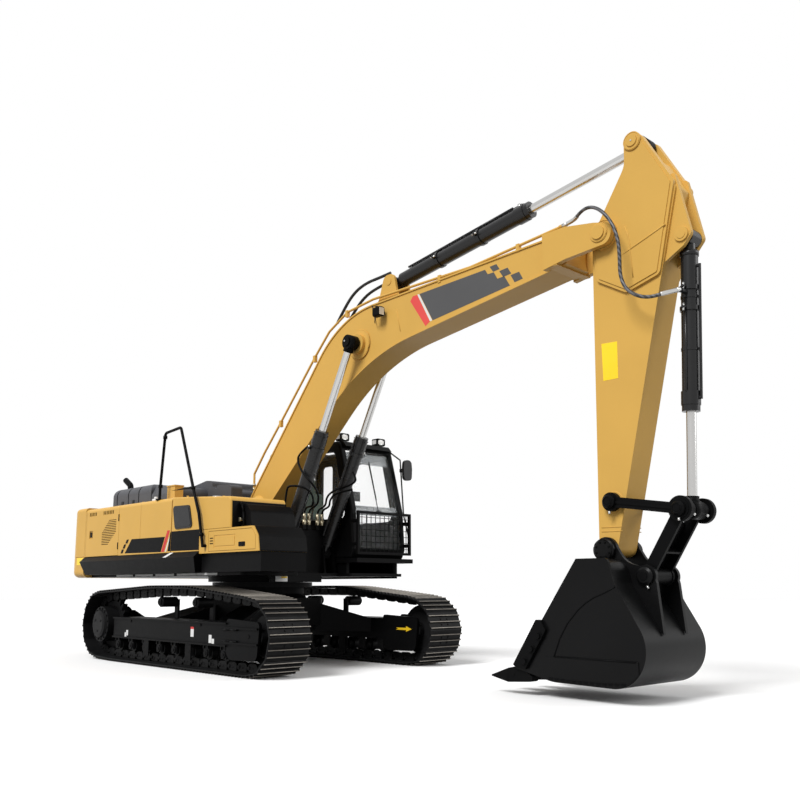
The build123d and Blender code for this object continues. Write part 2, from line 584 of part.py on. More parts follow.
pane, pane_play = 8, 1
front_pane = rounded([(cab_front_x - 22, cab_floor + 132, 0), (cab_front_x - 22 + pane, cab_floor + 132, 0),
                      (cab_front_x - 62 + pane, sill_z, 0), (cab_brow_x + 10 + pane, cab_roof - 132, 0),
                      (cab_brow_x + 10, cab_roof - 132, 0), (cab_front_x - 62, sill_z, 0)])
glass = [side_slab(front_pane, mid_y - pane_half + 1, mid_y + pane_half - 1)]
glass.append(side_slab(rounded(inset(right_window, pane_play)), cab_inner_y + 15, cab_inner_y + 15 + pane))
glass.append(side_slab(rounded(inset(left_window, pane_play)), cab_outer_y - 15 - pane, cab_outer_y - 15))
glass.append(block(cab_rear_x + 15, cab_rear_x + 15 + pane, mid_y - pane_half + 1, mid_y + pane_half - 1,
                   sill_z + 101, cab_roof - 171))
glass.append(block(cab_rear_x + 501, cab_brow_x - 331, mid_y - 299, mid_y + 299, cab_roof - 25, cab_roof - 25 + pane))
save("cab_glass", glass)

door_frame = side_slab(rounded(inset(door_rows, gap)), cab_outer_y - 38, cab_outer_y - 2)
door_window = [(door_back + 80, sill_z - 120, 60), (cab_front_x - 250, sill_z - 120, 80),
               (cab_brow_x - 160, door_top - 80, 90), (door_back + 80, door_top - 80, 70)]
door_frame -= side_slab(rounded(door_window), cab_outer_y - 60, cab_outer_y + 20)
door_frame += block(850, 1010, cab_outer_y - 3, cab_outer_y + 22, sill_z - 190, sill_z - 160)
save("cab_door", door_frame)
save("cab_door_glass", side_slab(rounded(inset(door_window, pane_play)), cab_outer_y - 24, cab_outer_y - 24 + pane))

cushion = side_slab(rounded([(-170, cab_floor + 330, 40), (380, cab_floor + 330, 50), (400, cab_floor + 480, 60),
                             (-170, cab_floor + 450, 40)]), mid_y - 260, mid_y + 260)
backrest = side_slab(rounded([(-190, cab_floor + 400, 40), (-70, cab_floor + 400, 40), (-140, cab_floor + 1060, 60),
                              (-290, cab_floor + 1060, 60)]), mid_y - 240, mid_y + 240)
headrest = side_slab(rounded([(-270, cab_floor + 1040, 20), (-170, cab_floor + 1040, 20), (-190, cab_floor + 1290, 50),
                              (-300, cab_floor + 1290, 50)]), mid_y - 130, mid_y + 130)
pedestal = block(-60, 260, mid_y - 150, mid_y + 150, cab_floor + cab_wall, cab_floor + 340)
save("operator_seat", cushion + backrest + headrest + pedestal)
consoles = [side_slab(rounded([(-100, cab_floor + cab_wall, 0), (300, cab_floor + cab_wall, 0), (420, cab_floor + 420, 60),
                               (420, cab_floor + 600, 40), (-100, cab_floor + 560, 40)]),
                      mid_y + s * 350 - 60, mid_y + s * 350 + 60)
            + bar((350, mid_y + s * 350, cab_floor + 580), (380, mid_y + s * 350, cab_floor + 780), 14)
            + bar((378, mid_y + s * 350, cab_floor + 760), (390, mid_y + s * 350, cab_floor + 860), 28)
            for s in (-1, 1)]
pedals = block(900, 1000, mid_y - 120, mid_y + 120, cab_floor + cab_wall, cab_floor + 65)
save("cab_controls", consoles + [pedals])

guard_x = cab_front_x + 70
guard_low, guard_high, guard_y0, guard_y1, guard_bar = 1500, 2100, 460, 1480, 36
guard = block(guard_x, guard_x + 36, guard_y0, guard_y1, guard_low, guard_high)
guard -= block(guard_x - 1, guard_x + 37, guard_y0 + guard_bar, guard_y1 - guard_bar, guard_low + guard_bar,
               guard_high - guard_bar)
for i in range(1, 12):
    y = guard_y0 + (guard_y1 - guard_y0) * i / 12
    guard += block(guard_x + 16, guard_x + 24, y - 4, y + 4, guard_low + 10, guard_high - 10)
for i in range(1, 7):
    z = guard_low + (guard_high - guard_low) * i / 7
    guard += block(guard_x + 12, guard_x + 20, guard_y0 + 10, guard_y1 - 10, z - 4, z + 4)
for y in (guard_y0 + 2, guard_y1 - 38):
    for z in (1640, 1960):
        guard += block(cab_front_x - 60, guard_x + 1, y, y + 30, z - 25, z + 25) - shell
save("front_guard", guard)

lamps = []
for y in (620, 1330):
    lamp = fillet(block(cab_brow_x - 170, cab_brow_x - 60, y - 85, y + 85, cab_roof + 20, cab_roof + 130)
                  .edges().filter_by(Axis.X), 25)
    lamp += block(cab_brow_x - 140, cab_brow_x - 100, y - 22, y + 22, cab_roof - 2, cab_roof + 22)
    lamp -= bar((cab_brow_x - 66, y, cab_roof + 75), (cab_brow_x - 50, y, cab_roof + 75), 44)
    lamps.append(lamp - shell)
save("cab_lamps", lamps)
mirror_x, mirror_y, mirror_low, mirror_high = 1400, 1560, 2610, 2920
mirror_rod = pipe([(cab_brow_x - 10, cab_outer_y - 70, cab_roof - 40), (mirror_x - 60, cab_outer_y + 30, 2925),
                   (mirror_x + 10, cab_outer_y + 30, 2100), (guard_x + 18, guard_y1 - 10, 1700),
                   (guard_x + 18, guard_y1 - 10, guard_low + 60)], 11, 30)
head_rows = [(-75, -150, 60), (75, -150, 60), (85, 20, 200), (70, 155, 65), (-70, 155, 65), (-85, 20, 200)]
mirror_head = extrude(Plane.YZ.offset(mirror_x) * Pos(mirror_y, (mirror_low + mirror_high) / 2) * rounded(head_rows), amount=48)
mirror_clamp = block(mirror_x - 60, mirror_x + 10, cab_outer_y + 15, mirror_y, 2740, 2790)
save("mirror", (mirror_rod + mirror_head + mirror_clamp) - shell - guard)

# ------------------------------------------------------------------ boom

tip_x, tip_z = boom_tip
boom_rows = [(foot_x - 60, foot_z - 130, 120), (foot_x + 120, foot_z - 110, 100), (2417, 3973, 2900),
             (tip_x - 420, tip_z - 160, 300), (tip_x + 110, tip_z - 130, 100), (tip_x + 165, tip_z + 60, 90),
             (tip_x - 60, tip_z + 125, 60), (tip_x - 420, tip_z + 190, 300), (1953, 4655, 1500),
             (foot_x - 190, foot_z + 180, 120)]
boom = side_slab(rounded(boom_rows), flange_out - boom_half, boom_half - flange_out)
boom += side_slab(rounded(boom_rows) - rounded(inset(boom_rows, flange_thick)), -boom_half, boom_half)
nose_clear = disc(boom_tip, 500, -400, 400)
boom -= nose_clear
tip_rows = [(tip_x - 700, tip_z - 205, 0), (tip_x - 420, tip_z - 160, 300), (tip_x + 110, tip_z - 130, 100),
            (tip_x + 165, tip_z + 60, 90), (tip_x - 60, tip_z + 125, 60),
            (tip_x - 420, tip_z + 190, 300), (tip_x - 700, tip_z + 185, 0)]
boom += both_sides(side_slab(rounded(tip_rows), fork_half - fork_plate, fork_half))
web = block(tip_x - 690, tip_x - 520, 5 - fork_half, fork_half - 5, tip_z - 190, tip_z + 175)
boom += web - nose_clear
foot_circle = Pos(*boom_foot) * Circle(150)
foot_cone = loft([Plane.XZ.offset(-fork_half) * foot_circle,
                  Plane.XZ.offset(40 - boom_half) * (Pos(foot_x + 20, foot_z + 30) * Circle(205))])
boom += both_sides(foot_cone)
eye_boss = [(190, boom_half - 20), (190, boom_half + 8), (130, boom_half + 12), (130, boom_half + 60)]
boom += both_sides(turned(boom_lift_eye, eye_boss))
tip_boss = [(95, fork_half - 10), (95, fork_half + 12), (70, fork_half + 14), (70, fork_half + 28)]
boom += both_sides(turned(boom_tip, tip_boss))
arm_base_x, arm_base_z = arm_lift_base
base_lug = rounded([(arm_base_x - 330, 4600, 0), (arm_base_x + 260, 4600, 0), (arm_base_x + 150, 4740, 120),
                    (arm_base_x + 90, arm_base_z + 95, 90), (arm_base_x - 90, arm_base_z + 95, 90),
                    (arm_base_x - 190, 4720, 120)])
boom += both_sides(side_slab(base_lug, 97, 132))
boom += disc(arm_lift_base, 45, -140, 140)
save("boom", boom)
lamp_x, lamp_z = 2820, 4500
boom_lamp = fillet(block(lamp_x - 60, lamp_x + 60, -335, -235, lamp_z - 60, lamp_z + 60).edges().filter_by(Axis.X), 25)
boom_lamp += block(lamp_x - 20, lamp_x + 20, -240, flange_out - boom_half, lamp_z - 20, lamp_z + 20)
boom_lamp -= bar((lamp_x + 54, -285, lamp_z), (lamp_x + 70, -285, lamp_z), 44)
save("boom_lamp", boom_lamp - boom)
pipe_route = [(-20, 2440), (-20, 2700), (230, 2990), (620, 3390), (1390, 4200), (1700, 4500), (2080, 4690),
              (2600, 4745), (3300, 4735), (4290, 4720), (5560, 4815), (5630, 4823)]
clamp_places = ((620, 3390), (1390, 4200), (2080, 4690), (3800, 4728), (5000, 4770))
pipe_clamps = [both_sides(block(x - 22, x + 22, 150, 196, z - 70, z + 22)) - boom for x, z in clamp_places]
line_path = Polyline(*[(x, 175, z) for x, z in pipe_route])
line_start = Plane(origin=line_path @ 0, z_dir=line_path % 0) * Circle(16)
line_set = both_sides(sweep(line_start, path=line_path, transition=Transition.RIGHT))
for clamp in pipe_clamps:
    line_set += clamp
save("boom_pipes", line_set - boom)

# ------------------------------------------------------------------ cylinders


def cylinder_pair(base, eye, y, tube_radius, rod_radius, tube_length, eye_half, pin_half, line_side):
    """Tube and rod of a hydraulic cylinder between two pins, at rest; line_side is where its oil line runs."""
    bx, bz = base
    ex, ez = eye
    length = hypot(ex - bx, ez - bz)
    ux, uz = (ex - bx) / length, (ez - bz) / length

    def at(s, aside=(0, 0)):
        return (bx + ux * s - uz * aside[0], y + aside[1], bz + uz * s + ux * aside[0])

    tube = bar(at(140), at(tube_length), tube_radius) + bar(at(50), at(150), tube_radius * 0.7)
    tube += bar(at(tube_length - 190), at(tube_length - 60), tube_radius + 10)
    tube += bar(at(tube_length - 60), at(tube_length), tube_radius + 3)
    tube += disc(base, 85, y - eye_half, y + eye_half)
    out = tube_radius + 24
    ahead = (line_side[0] * out, line_side[1] * out)
    beside = (line_side[0] * (tube_radius - 6), line_side[1] * (tube_radius - 6))
    for s in (290, tube_length - 125):
        tube += bar(at(s, beside), at(s, ahead), 16)
    tube += bar(at(275, ahead), at(tube_length - 110, ahead), 13)
    for s in (0.35 * tube_length, 0.65 * tube_length):
        tube += bar(at(s - 14), at(s + 14), tube_radius + 5)
        tube += bar(at(s, beside), at(s, ahead), 10)
    tube -= bar(at(190), at(tube_length + 1), rod_radius + 2)
    rod = bar(at(0.72 * tube_length), at(length - 40), rod_radius)
    rod += disc(eye, rod_radius + 42, y - eye_half, y + eye_half)
    rod += bar(at(length - rod_radius - 75), at(length - 40), rod_radius + 14)
    rod += disc(eye, 45, y - pin_half, y + pin_half)
    return tube, rod


base_bore = 48
for name, side in (("right", -1), ("left", 1)):
    y = side * lift_y
    tube, rod = cylinder_pair(boom_lift_base, boom_lift_eye, y, 88, 48, 1770, 68, 82, (0, -side))
    save(f"boom_cylinder_{name}", tube - disc(boom_lift_base, base_bore, y - 200, y + 200))
    save(f"boom_rod_{name}", rod)
tube, rod = cylinder_pair(arm_lift_base, arm_lift_eye, 0, 92, 50, 2230, 85, 104, (1, 0))
save("arm_cylinder", tube - disc(arm_lift_base, base_bore, -200, 200))
save("arm_rod", rod)
tube, rod = cylinder_pair(bucket_lift_base, link_pin, 0, 80, 46, 1680, 82, 85, (1, 0))
port_from_pin, port_reach = 550, 172
cylinder_share = port_from_pin / hypot(link_pin[0] - bucket_lift_base[0], link_pin[1] - bucket_lift_base[1])
port_x = bucket_lift_base[0] + (link_pin[0] - bucket_lift_base[0]) * cylinder_share
port_z = bucket_lift_base[1] + (link_pin[1] - bucket_lift_base[1]) * cylinder_share
tube += bar((port_x, -70, port_z), (port_x, -port_reach, port_z), 24)
save("bucket_cylinder", tube - disc(bucket_lift_base, base_bore, -200, 200))
save("bucket_rod", rod)

# ------------------------------------------------------------------ arm

pin_x, pin_z = bucket_pin
arm_rows = [(pin_x - 105, pin_z - 65, 90), (pin_x + 85, pin_z - 65, 90), (6900, 4830, 60), (6700, 5200, 60),
            (6330, 5130, 150), (tip_x - 170, tip_z, 200)]
arm = side_slab(rounded(arm_rows), -arm_half, arm_half)
head_rows = [(6330, 3900, 60), (6700, 4000, 60), (6895, 4880, 60), (6560, 5490, 100), (6380, 5540, 110),
             (6370, 5200, 200), (tip_x - 165, tip_z + 10, 190), (tip_x - 120, 4100, 60)]
arm += both_sides(side_slab(rounded(head_rows), arm_half - 55, head_half - 10))
arm += both_sides(side_slab(rounded(inset(head_rows, 30)), head_half - 12, head_half))
arm += turned(boom_tip, [(150, -232), (150, 232)])
rear_ear = rounded([(6760, 4960, 0), (6880, 4980, 30), (7020, 4330, 60), (6930, 4225, 60), (6740, 4120, 60),
                    (6600, 4060, 0)])
arm += both_sides(side_slab(rear_ear, 95, 140))
arm += turned(bucket_lift_base, [(70, -158), (70, -138), (45, -138), (45, 138), (70, 138), (70, 158)])
arm += turned(arm_lift_eye, [(95, 180), (95, head_half + 14)]) + turned(arm_lift_eye, [(95, -head_half - 14), (95, -180)])
arm += turned(idler_link_pin, [(95, -arm_half - 8), (95, arm_half + 8)])
save("arm", arm)

# ------------------------------------------------------------------ bucket linkage and bucket


def link(a, b, radius, width, y0, y1, shift=0):
    """Flat bar with round ends over two pins, its body moved to the left of the line by a shift."""
    length = hypot(b[0] - a[0], b[1] - a[1])
    turn = degrees(atan2(b[1] - a[1], b[0] - a[0]))
    body = Pos(*a) * Rot(0, 0, turn) * Pos(length / 2, shift) * Rectangle(length, width)
    return side_slab(body, y0, y1) + disc(a, radius, y0, y1) + disc(b, radius, y0, y1)


idler_inner, idler_outer = arm_half + 15, arm_half + 70
idler_link = link(idler_link_pin, link_pin, 90, 100, idler_inner, idler_outer)
idler_link += link(idler_link_pin, link_pin, 40, 26, idler_outer - 1, idler_outer + 12)
idler_link += disc(link_pin, 118, idler_inner, idler_outer - 8)
for at in (idler_link_pin, link_pin):
    idler_link += turned(at, [(66, idler_outer - 1), (66, idler_outer + 34), (52, idler_outer + 48)])
save("idler_links", [idler_link, on_left(idler_link)])

h_plate, h_outer, h_shift = 34, 160, -26
h_link = both_sides(link(link_pin, bucket_link_pin, 84, 118, h_outer - h_plate, h_outer, h_shift))
h_link += both_sides(turned(link_pin, [(84, 92), (84, h_outer)]))
link_run = hypot(bucket_link_pin[0] - link_pin[0], bucket_link_pin[1] - link_pin[1])
link_turn = degrees(atan2(bucket_link_pin[1] - link_pin[1], bucket_link_pin[0] - link_pin[0]))
front_web = Pos(*link_pin) * Rot(0, 0, link_turn) * Pos(link_run / 2 + 70, h_shift - 48) * Rectangle(link_run - 200, 22)
cross_web = Pos(*link_pin) * Rot(0, 0, link_turn) * Pos(link_run * 0.62, h_shift) * Rectangle(20, 110)
h_link += side_slab(front_web, 1 - h_outer, h_outer - 1) + side_slab(cross_web, 1 - h_outer, h_outer - 1)
h_link += turned(bucket_link_pin, [(76, -h_outer), (76, h_outer)])
save("bucket_link", h_link)

bucket_rows = [(5870, 1315, 0), (6215, 1315, 50), (6275, 1090, 200), (6857, 135, 350), (5560, 158, 500),
               (5110, 262, 0)]
plate = bucket_plate
side_face = rounded(bucket_rows)
wrapper_rows = [(5870, 1315, 0), (6215, 1315, 150)] + bucket_rows[2:]
wrapper_core = inset(wrapper_rows, [plate, plate, plate, plate, plate, -60])
bowl = side_slab(rounded(wrapper_rows) - rounded(wrapper_core), 1 - bucket_half, bucket_half - 1)
bowl += both_sides(side_slab(side_face, bucket_half - plate, bucket_half))
nose_reach = 150
nose_rows = [(5600, 1400, 0), (5600, 1215, 0), (pin_x - 20, pin_z - nose_reach, 120), (pin_x + 75, pin_z - 130, 60),
             (6275, 1117, 0), (6400, 1117, 0), (6400, 1400, 0)]
nose_zone = rounded(nose_rows)
saddle_zone = rounded(inset(nose_rows, [0, -plate, -plate, -plate, -plate, 0, 0]))
bowl -= side_slab(nose_zone, -ear_inner_y, ear_inner_y)
saddle = rounded(wrapper_rows) & (saddle_zone - nose_zone)
bowl += side_slab(saddle, -ear_inner_y - 1, ear_inner_y + 1)
hinge_x, hinge_z = bucket_link_pin
hanger = rounded([(5925, 1290, 0), (5920, 1490, 40), (6075, 1500, 40), (6235, 1245, 230), (hinge_x + 50, 1250, 60),
                  (hinge_x + 105, hinge_z - 60, 60), (6575, 620, 0), (6330, 900, 0), (6240, 1200, 0)])
ear = side_slab(hanger, ear_inner_y, ear_inner_y + ear_plate)
ear += disc(bucket_pin, 125, ear_inner_y, ear_inner_y + ear_plate)
ear += disc(bucket_link_pin, 105, ear_inner_y, ear_inner_y + ear_plate)
ear += turned(bucket_pin, [(112, ear_inner_y + 1), (112, ear_inner_y + 76), (92, ear_inner_y + 92), (60, ear_inner_y + 96)])
ear += turned(bucket_link_pin, [(84, ear_inner_y + 1), (84, ear_inner_y + 70), (62, ear_inner_y + 84)])
bowl += both_sides(ear)
wear_plate = side_slab(rounded(inset(bucket_rows, 6)), bucket_half - 1, bucket_half + 8)
wear_plate &= block(5480, 6500, 0, 600, 0, 395)
bowl += both_sides(wear_plate)
save("bucket", bowl)

tooth_side = rounded([(4752, 166, 8), (5010, 118, 0), (5310, 140, 30), (5310, 190, 0), (5140, 282, 20), (5020, 258, 0)])
tooth_plan = plan_slab(rounded([(4740, -26, 0), (5010, -50, 0), (5320, -50, 0), (5320, 50, 0), (5010, 50, 0),
                                (4740, 26, 0)]), 50, 400)
tooth = side_slab(tooth_side, -60, 60) & tooth_plan
teeth = []
for i in range(4):
    teeth.append(Pos(0, (bucket_half - 62) * (2 * i / 3 - 1), 0) * tooth - bowl)
cutter_rows = [(5112, 296, 12), (5150, 272, 12), (5262, 258, 20), (5520, 640, 20), (5462, 735, 14), (5405, 738, 12)]
cutter = side_slab(rounded(cutter_rows), bucket_half + 1, bucket_half + 36)
cutter += side_slab(rounded([(5112, 296, 12), (5150, 272, 12), (5462, 735, 14), (5405, 738, 12)]), bucket_half - 30, bucket_half + 2)
cutter = cutter - bowl
save("teeth_and_cutters", teeth + [cutter, on_left(cutter)])

# ------------------------------------------------------------------ free hose at the boom's tip

pipe_end = line_path @ 1
hose_lead = pipe_end + (line_path % 1) * 120
hose_points = [(pipe_end.X, -pipe_end.Y, pipe_end.Z), (hose_lead.X, -hose_lead.Y, hose_lead.Z),
               (5860, -255, 4850), (6000, -325, 4850), (6130, -364, 4800), (6250, -383, 4690), (6340, -387, 4540),
               (6390, -385, 4370), (6397, -385, 4190), (6388, -380, 4020), (6440, -383, 3870), (6560, -385, 3765),
               (6700, -385, 3715), (6835, -320, 3748), (port_x, -port_reach - 15, port_z)]
hose_radius = 18


def cord_tube(points, radius):
    """Straight runs joined by arcs that each take 0.45 of the shorter run."""
    runs = [Vector(*p) for p in points]
    edges, start = [], runs[0]
    for before, here, after in zip(runs, runs[1:], runs[2:]):
        shorter = min((here - before).length, (after - here).length)
        back, on = (before - here).normalized(), (after - here).normalized()
        half = radians(back.get_angle(on)) / 2
        bend = 0.45 * shorter * tan(half)
        middle = here + (back + on).normalized() * (bend / sin(half) - bend)
        first, last = here + back * 0.45 * shorter, here + on * 0.45 * shorter
        edges += [Line(start, first), ThreePointArc(first, middle, last)]
        start = last
    edges.append(Line(start, runs[-1]))
    path = Wire(edges)
    return sweep(Plane(origin=path @ 0, z_dir=path % 0) * Circle(radius), path=path)


save("arm_hose", cord_tube(hose_points, hose_radius))
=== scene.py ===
import json
from math import cos, pi, radians, sin, tan

import bmesh
import bpy
from mathutils import Matrix, Vector


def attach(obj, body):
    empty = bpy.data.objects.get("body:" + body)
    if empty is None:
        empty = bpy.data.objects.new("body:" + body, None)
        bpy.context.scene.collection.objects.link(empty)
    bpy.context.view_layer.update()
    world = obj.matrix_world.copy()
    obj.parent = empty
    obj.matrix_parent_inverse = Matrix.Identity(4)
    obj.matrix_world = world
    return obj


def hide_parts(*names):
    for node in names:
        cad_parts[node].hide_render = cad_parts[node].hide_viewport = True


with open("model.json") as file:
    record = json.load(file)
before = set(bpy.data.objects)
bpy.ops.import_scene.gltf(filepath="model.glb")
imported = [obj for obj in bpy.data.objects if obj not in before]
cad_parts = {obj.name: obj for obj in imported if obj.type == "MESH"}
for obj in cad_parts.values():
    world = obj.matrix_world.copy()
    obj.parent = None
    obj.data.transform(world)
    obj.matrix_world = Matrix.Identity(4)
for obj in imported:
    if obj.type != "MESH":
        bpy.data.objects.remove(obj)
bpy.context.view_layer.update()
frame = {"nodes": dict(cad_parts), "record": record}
nodes = frame["nodes"]

# -------- camera
# Looks at the machine from its right front corner, a little below the cab's sill.
# The lens and shift frame the whole machine with its boom's top and its tracks.


def linked(name, data):
    """One object of the scene."""
    obj = bpy.data.objects.new(name, data)
    bpy.context.scene.collection.objects.link(obj)
    return obj


CAM_AT = Vector((10.898, -7.61, 1.045))
CAM_YAW, CAM_PITCH = radians(137.25), radians(9.22)
forward = Vector((cos(CAM_PITCH) * cos(CAM_YAW), cos(CAM_PITCH) * sin(CAM_YAW), sin(CAM_PITCH)))
right = Vector((sin(CAM_YAW), -cos(CAM_YAW), 0))
up = right.cross(forward)
camera = bpy.data.cameras.new("camera")
camera.lens, camera.sensor_width = 40.11, 36
camera.shift_x, camera.shift_y = 0.0167, 0.0536
camera_obj = linked("camera", camera)
camera_obj.matrix_world = Matrix.Translation(CAM_AT) @ Matrix((right, up, -forward)).transposed().to_4x4()
bpy.context.scene.camera = camera_obj

# -------- paint and metal of the carried-over nodes
# Golden ochre enamel, satin black enamel, rolled steel, chrome, moulded plastic and clear glass.
# Each has a slow change of tone, a fine grain and a slight unevenness in its gloss.


def blank_material(name):
    """New material with its node tree and its shader."""
    made = bpy.data.materials.new(name)
    made.use_nodes = True
    return made, made.node_tree, made.node_tree.nodes["Principled BSDF"]


def tune(node, values):
    """Plain values for a node's sockets."""
    for socket, value in values.items():
        node.inputs[socket].default_value = value
    return node


def two_tones(tree, noise, low, high):
    """Colour from a noise's strength: low and high are each a strength and its colour."""
    ramp = tree.nodes.new("ShaderNodeValToRGB")
    for stop, (strength, colour) in zip(ramp.color_ramp.elements, (low, high)):
        stop.position, stop.color = strength, (*colour, 1)
    tree.links.new(noise.outputs["Fac"], ramp.inputs["Fac"])
    tree.links.new(ramp.outputs["Color"], tree.nodes["Principled BSDF"].inputs["Base Color"])


def enamel(name, tint, roughness, metallic=0.0, tone=0.06, grain=220.0, relief=0.12, shine=0.5, patch=1.6):
    """Painted or bare metal: tone drifts over metres, gloss over centimetres, grain over millimetres."""
    made, tree, shader = blank_material(name)
    tune(shader, {"Metallic": metallic, "Specular IOR Level": shine})
    where = tree.nodes.new("ShaderNodeTexCoord")
    drift, gloss, fine = (tree.nodes.new("ShaderNodeTexNoise") for _ in range(3))
    for noise, scale in ((drift, patch), (gloss, 14), (fine, grain)):
        tune(noise, {"Scale": scale})
        tree.links.new(where.outputs["Object"], noise.inputs["Vector"])
    tune(drift, {"Detail": 4})
    two_tones(tree, drift, (0.3, [c * (1 - tone) for c in tint]),
              (0.7, [min(c * (1 + tone), 1) for c in tint]))
    span = tune(tree.nodes.new("ShaderNodeMapRange"),
                {"To Min": roughness * 0.85, "To Max": roughness * 1.15})
    bump = tune(tree.nodes.new("ShaderNodeBump"), {"Strength": relief, "Distance": 0.0015})
    tree.links.new(gloss.outputs["Fac"], span.inputs["Value"])
    tree.links.new(span.outputs["Result"], shader.inputs["Roughness"])
    tree.links.new(fine.outputs["Fac"], bump.inputs["Height"])
    tree.links.new(bump.outputs["Normal"], shader.inputs["Normal"])
    return made


def see_through(name, tint, roughness, alpha):
    """Clear or tinted pane."""
    made, _, shader = blank_material(name)
    tune(shader, {"Base Color": (*tint, 1), "Roughness": roughness, "Alpha": alpha})
    return made


BLACK_TINT = (0.0035, 0.0035, 0.0037)
yellow = enamel("yellow_paint", (0.63, 0.372, 0.086), 0.4, tone=0.03, shine=0.13)
black = enamel("black_paint", BLACK_TINT, 0.42, tone=0.15, shine=0.045)
bucket_black = enamel("bucket_black", BLACK_TINT, 0.33, tone=0.15, shine=0.1)
barrel_black = enamel("barrel_black", (0.009, 0.009, 0.0095), 0.28, tone=0.1, shine=0.3)
steel = enamel("track_steel", (0.008, 0.008, 0.0083), 0.45, tone=0.3, grain=90, relief=0.35, shine=0.07,
               patch=5)
worn_steel = enamel("worn_steel", (0.16, 0.145, 0.125), 0.42, metallic=0.6, tone=0.2, grain=60, relief=0.4,
                    patch=9)
chrome = enamel("chrome", (0.52, 0.515, 0.505), 0.22, metallic=1.0, tone=0.02, grain=600, relief=0.03)
hood_plastic = enamel("hood_plastic", (0.062, 0.064, 0.072), 0.5, tone=0.06, grain=320, relief=0.3,
                      shine=0.3)
dark_plastic = enamel("dark_plastic", (0.012, 0.012, 0.013), 0.5, tone=0.08, grain=420, relief=0.35,
                      shine=0.3)
rubber = enamel("hose_rubber", (0.008, 0.008, 0.009), 0.5, tone=0.1, grain=400, relief=0.2, shine=0.3)
brass = enamel("pale_fitting", (0.42, 0.37, 0.26), 0.35, metallic=0.8, tone=0.1)
zinc = enamel("zinc", (0.5, 0.5, 0.49), 0.32, metallic=0.8, tone=0.05)
seat_cloth = enamel("seat_cloth", (0.085, 0.12, 0.1), 0.85, tone=0.12, grain=700, relief=0.6, shine=0.2,
                    patch=8)
glass = see_through("clear_glass", (0.86, 0.9, 0.89), 0.02, 0.04)
finishes = {"yellow_paint": yellow, "black_paint": black, "dark_steel": steel, "chrome_rod": chrome,
            "clear_glass": glass, "hood_plastic": hood_plastic, "dark_plastic": dark_plastic,
            "hose_rubber": rubber, "seat_fabric": seat_cloth}
for part in frame["record"]["subparts"]:
    carried = nodes[part["node"]].data
    carried.materials.clear()
    painted = finishes[part["material_slot"]]
    if "_cylinder" in part["node"]:
        painted = barrel_black
    if part["node"] == "bucket":
        painted = bucket_black
    carried.materials.append(painted)

# -------- track chains
# Forged links pinned into a closed chain, and a rolled shoe with three grousers bolted to each.
# The chain lies taut round the idler, the drive wheel and the rollers, as the solid loop does.
SHOE_COUNT, SHOE_HALF_WIDTH, SHOE_PLATE = 48, 0.3, 0.014
GROUSER_HEIGHT, GROUSER_BASE, GROUSER_CREST = 0.026, 0.03, 0.012
GROUSER_PLACES = (0.14, 0.47, 0.8)
RAIL_HEIGHT, RAIL_INNER_Y, RAIL_OUTER_Y = 0.105, 0.042, 0.08
PIN_DEPTH = GROUSER_HEIGHT + SHOE_PLATE + RAIL_HEIGHT / 2
LINK_PIN_RADIUS, LINK_PIN_PROUD = 0.022, 0.012
TRACK_MID_Y = 1.3
IDLER, DRIVE = (2.0, 0.47, 0.47), (-1.98, 0.51, 0.49)
ROLLER_RADIUS = 0.082
ROLLER_TIP = PIN_DEPTH + RAIL_HEIGHT / 2 + ROLLER_RADIUS + 0.003
CARRIER_TIP = 0.07 + PIN_DEPTH + RAIL_HEIGHT / 2 + 0.01
ROLLER_XS = [-1.5 + 2.81 / 7 * i for i in range(8)]
CARRIER_XS, CARRIER_Z = (-0.4, 0.52), 0.85
# X and Z of each wheel and the radius of the shoes' tips round it
CHAIN_WHEELS = [IDLER, DRIVE, (-1.5, ROLLER_TIP, ROLLER_TIP), (1.31, ROLLER_TIP, ROLLER_TIP)]
CHAIN_WHEELS += [(x, CARRIER_Z, CARRIER_TIP) for x in CARRIER_XS]


def add(name, data, body, slot, *materials):
    """One object from a mesh or curve, on its body, with its finishes."""
    obj = linked(name, data)
    for material in materials:
        data.materials.append(material)
    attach(obj, body)
    return obj


faces_put = bmesh.new()


def finished(name, body, slot, *materials):
    """One object from the faces put down so far, which leaves none for the next."""
    bmesh.ops.recalc_face_normals(faces_put, faces=faces_put.faces)
    mesh = bpy.data.meshes.new(name)
    faces_put.to_mesh(mesh)
    faces_put.clear()
    return add(name, mesh, body, slot, *materials)


def put_prism(outline, move, index=0):
    """Closed prism: outline is a ring of corners, move the vector from its near face to its far one."""
    near = [faces_put.verts.new(corner) for corner in outline]
    far = [faces_put.verts.new(Vector(corner) + Vector(move)) for corner in outline]
    faces = [faces_put.faces.new(near), faces_put.faces.new(far[::-1])]
    for i, corner in enumerate(near):
        j = (i + 1) % len(near)
        faces.append(faces_put.faces.new((corner, far[i], far[j], near[j])))
    for face in faces:
        face.material_index = index


def put_box(low, high, index=0):
    """Box between two opposite corners."""
    (x0, x1), (y0, y1), (z0, z1) = (sorted(pair) for pair in zip(low, high))
    put_prism([(x0, y0, z0), (x1, y0, z0), (x1, y1, z0), (x0, y1, z0)], (0, 0, z1 - z0), index)


def put_rod(start, end, radius, sides=16, far_radius=None, index=0):
    """Round bar, or a cone, between two points."""
    run, middle = Vector(end) - Vector(start), (Vector(start) + Vector(end)) / 2
    place = Matrix.Translation(middle) @ run.to_track_quat("Z", "Y").to_matrix().to_4x4()
    made = bmesh.ops.create_cone(faces_put, cap_ends=True, segments=sides, radius1=radius, depth=run.length,
                                 radius2=radius if far_radius is None else far_radius, matrix=place)
    for face in {face for vert in made["verts"] for face in vert.link_faces}:
        face.material_index = index
        face.smooth = len(face.verts) == 4


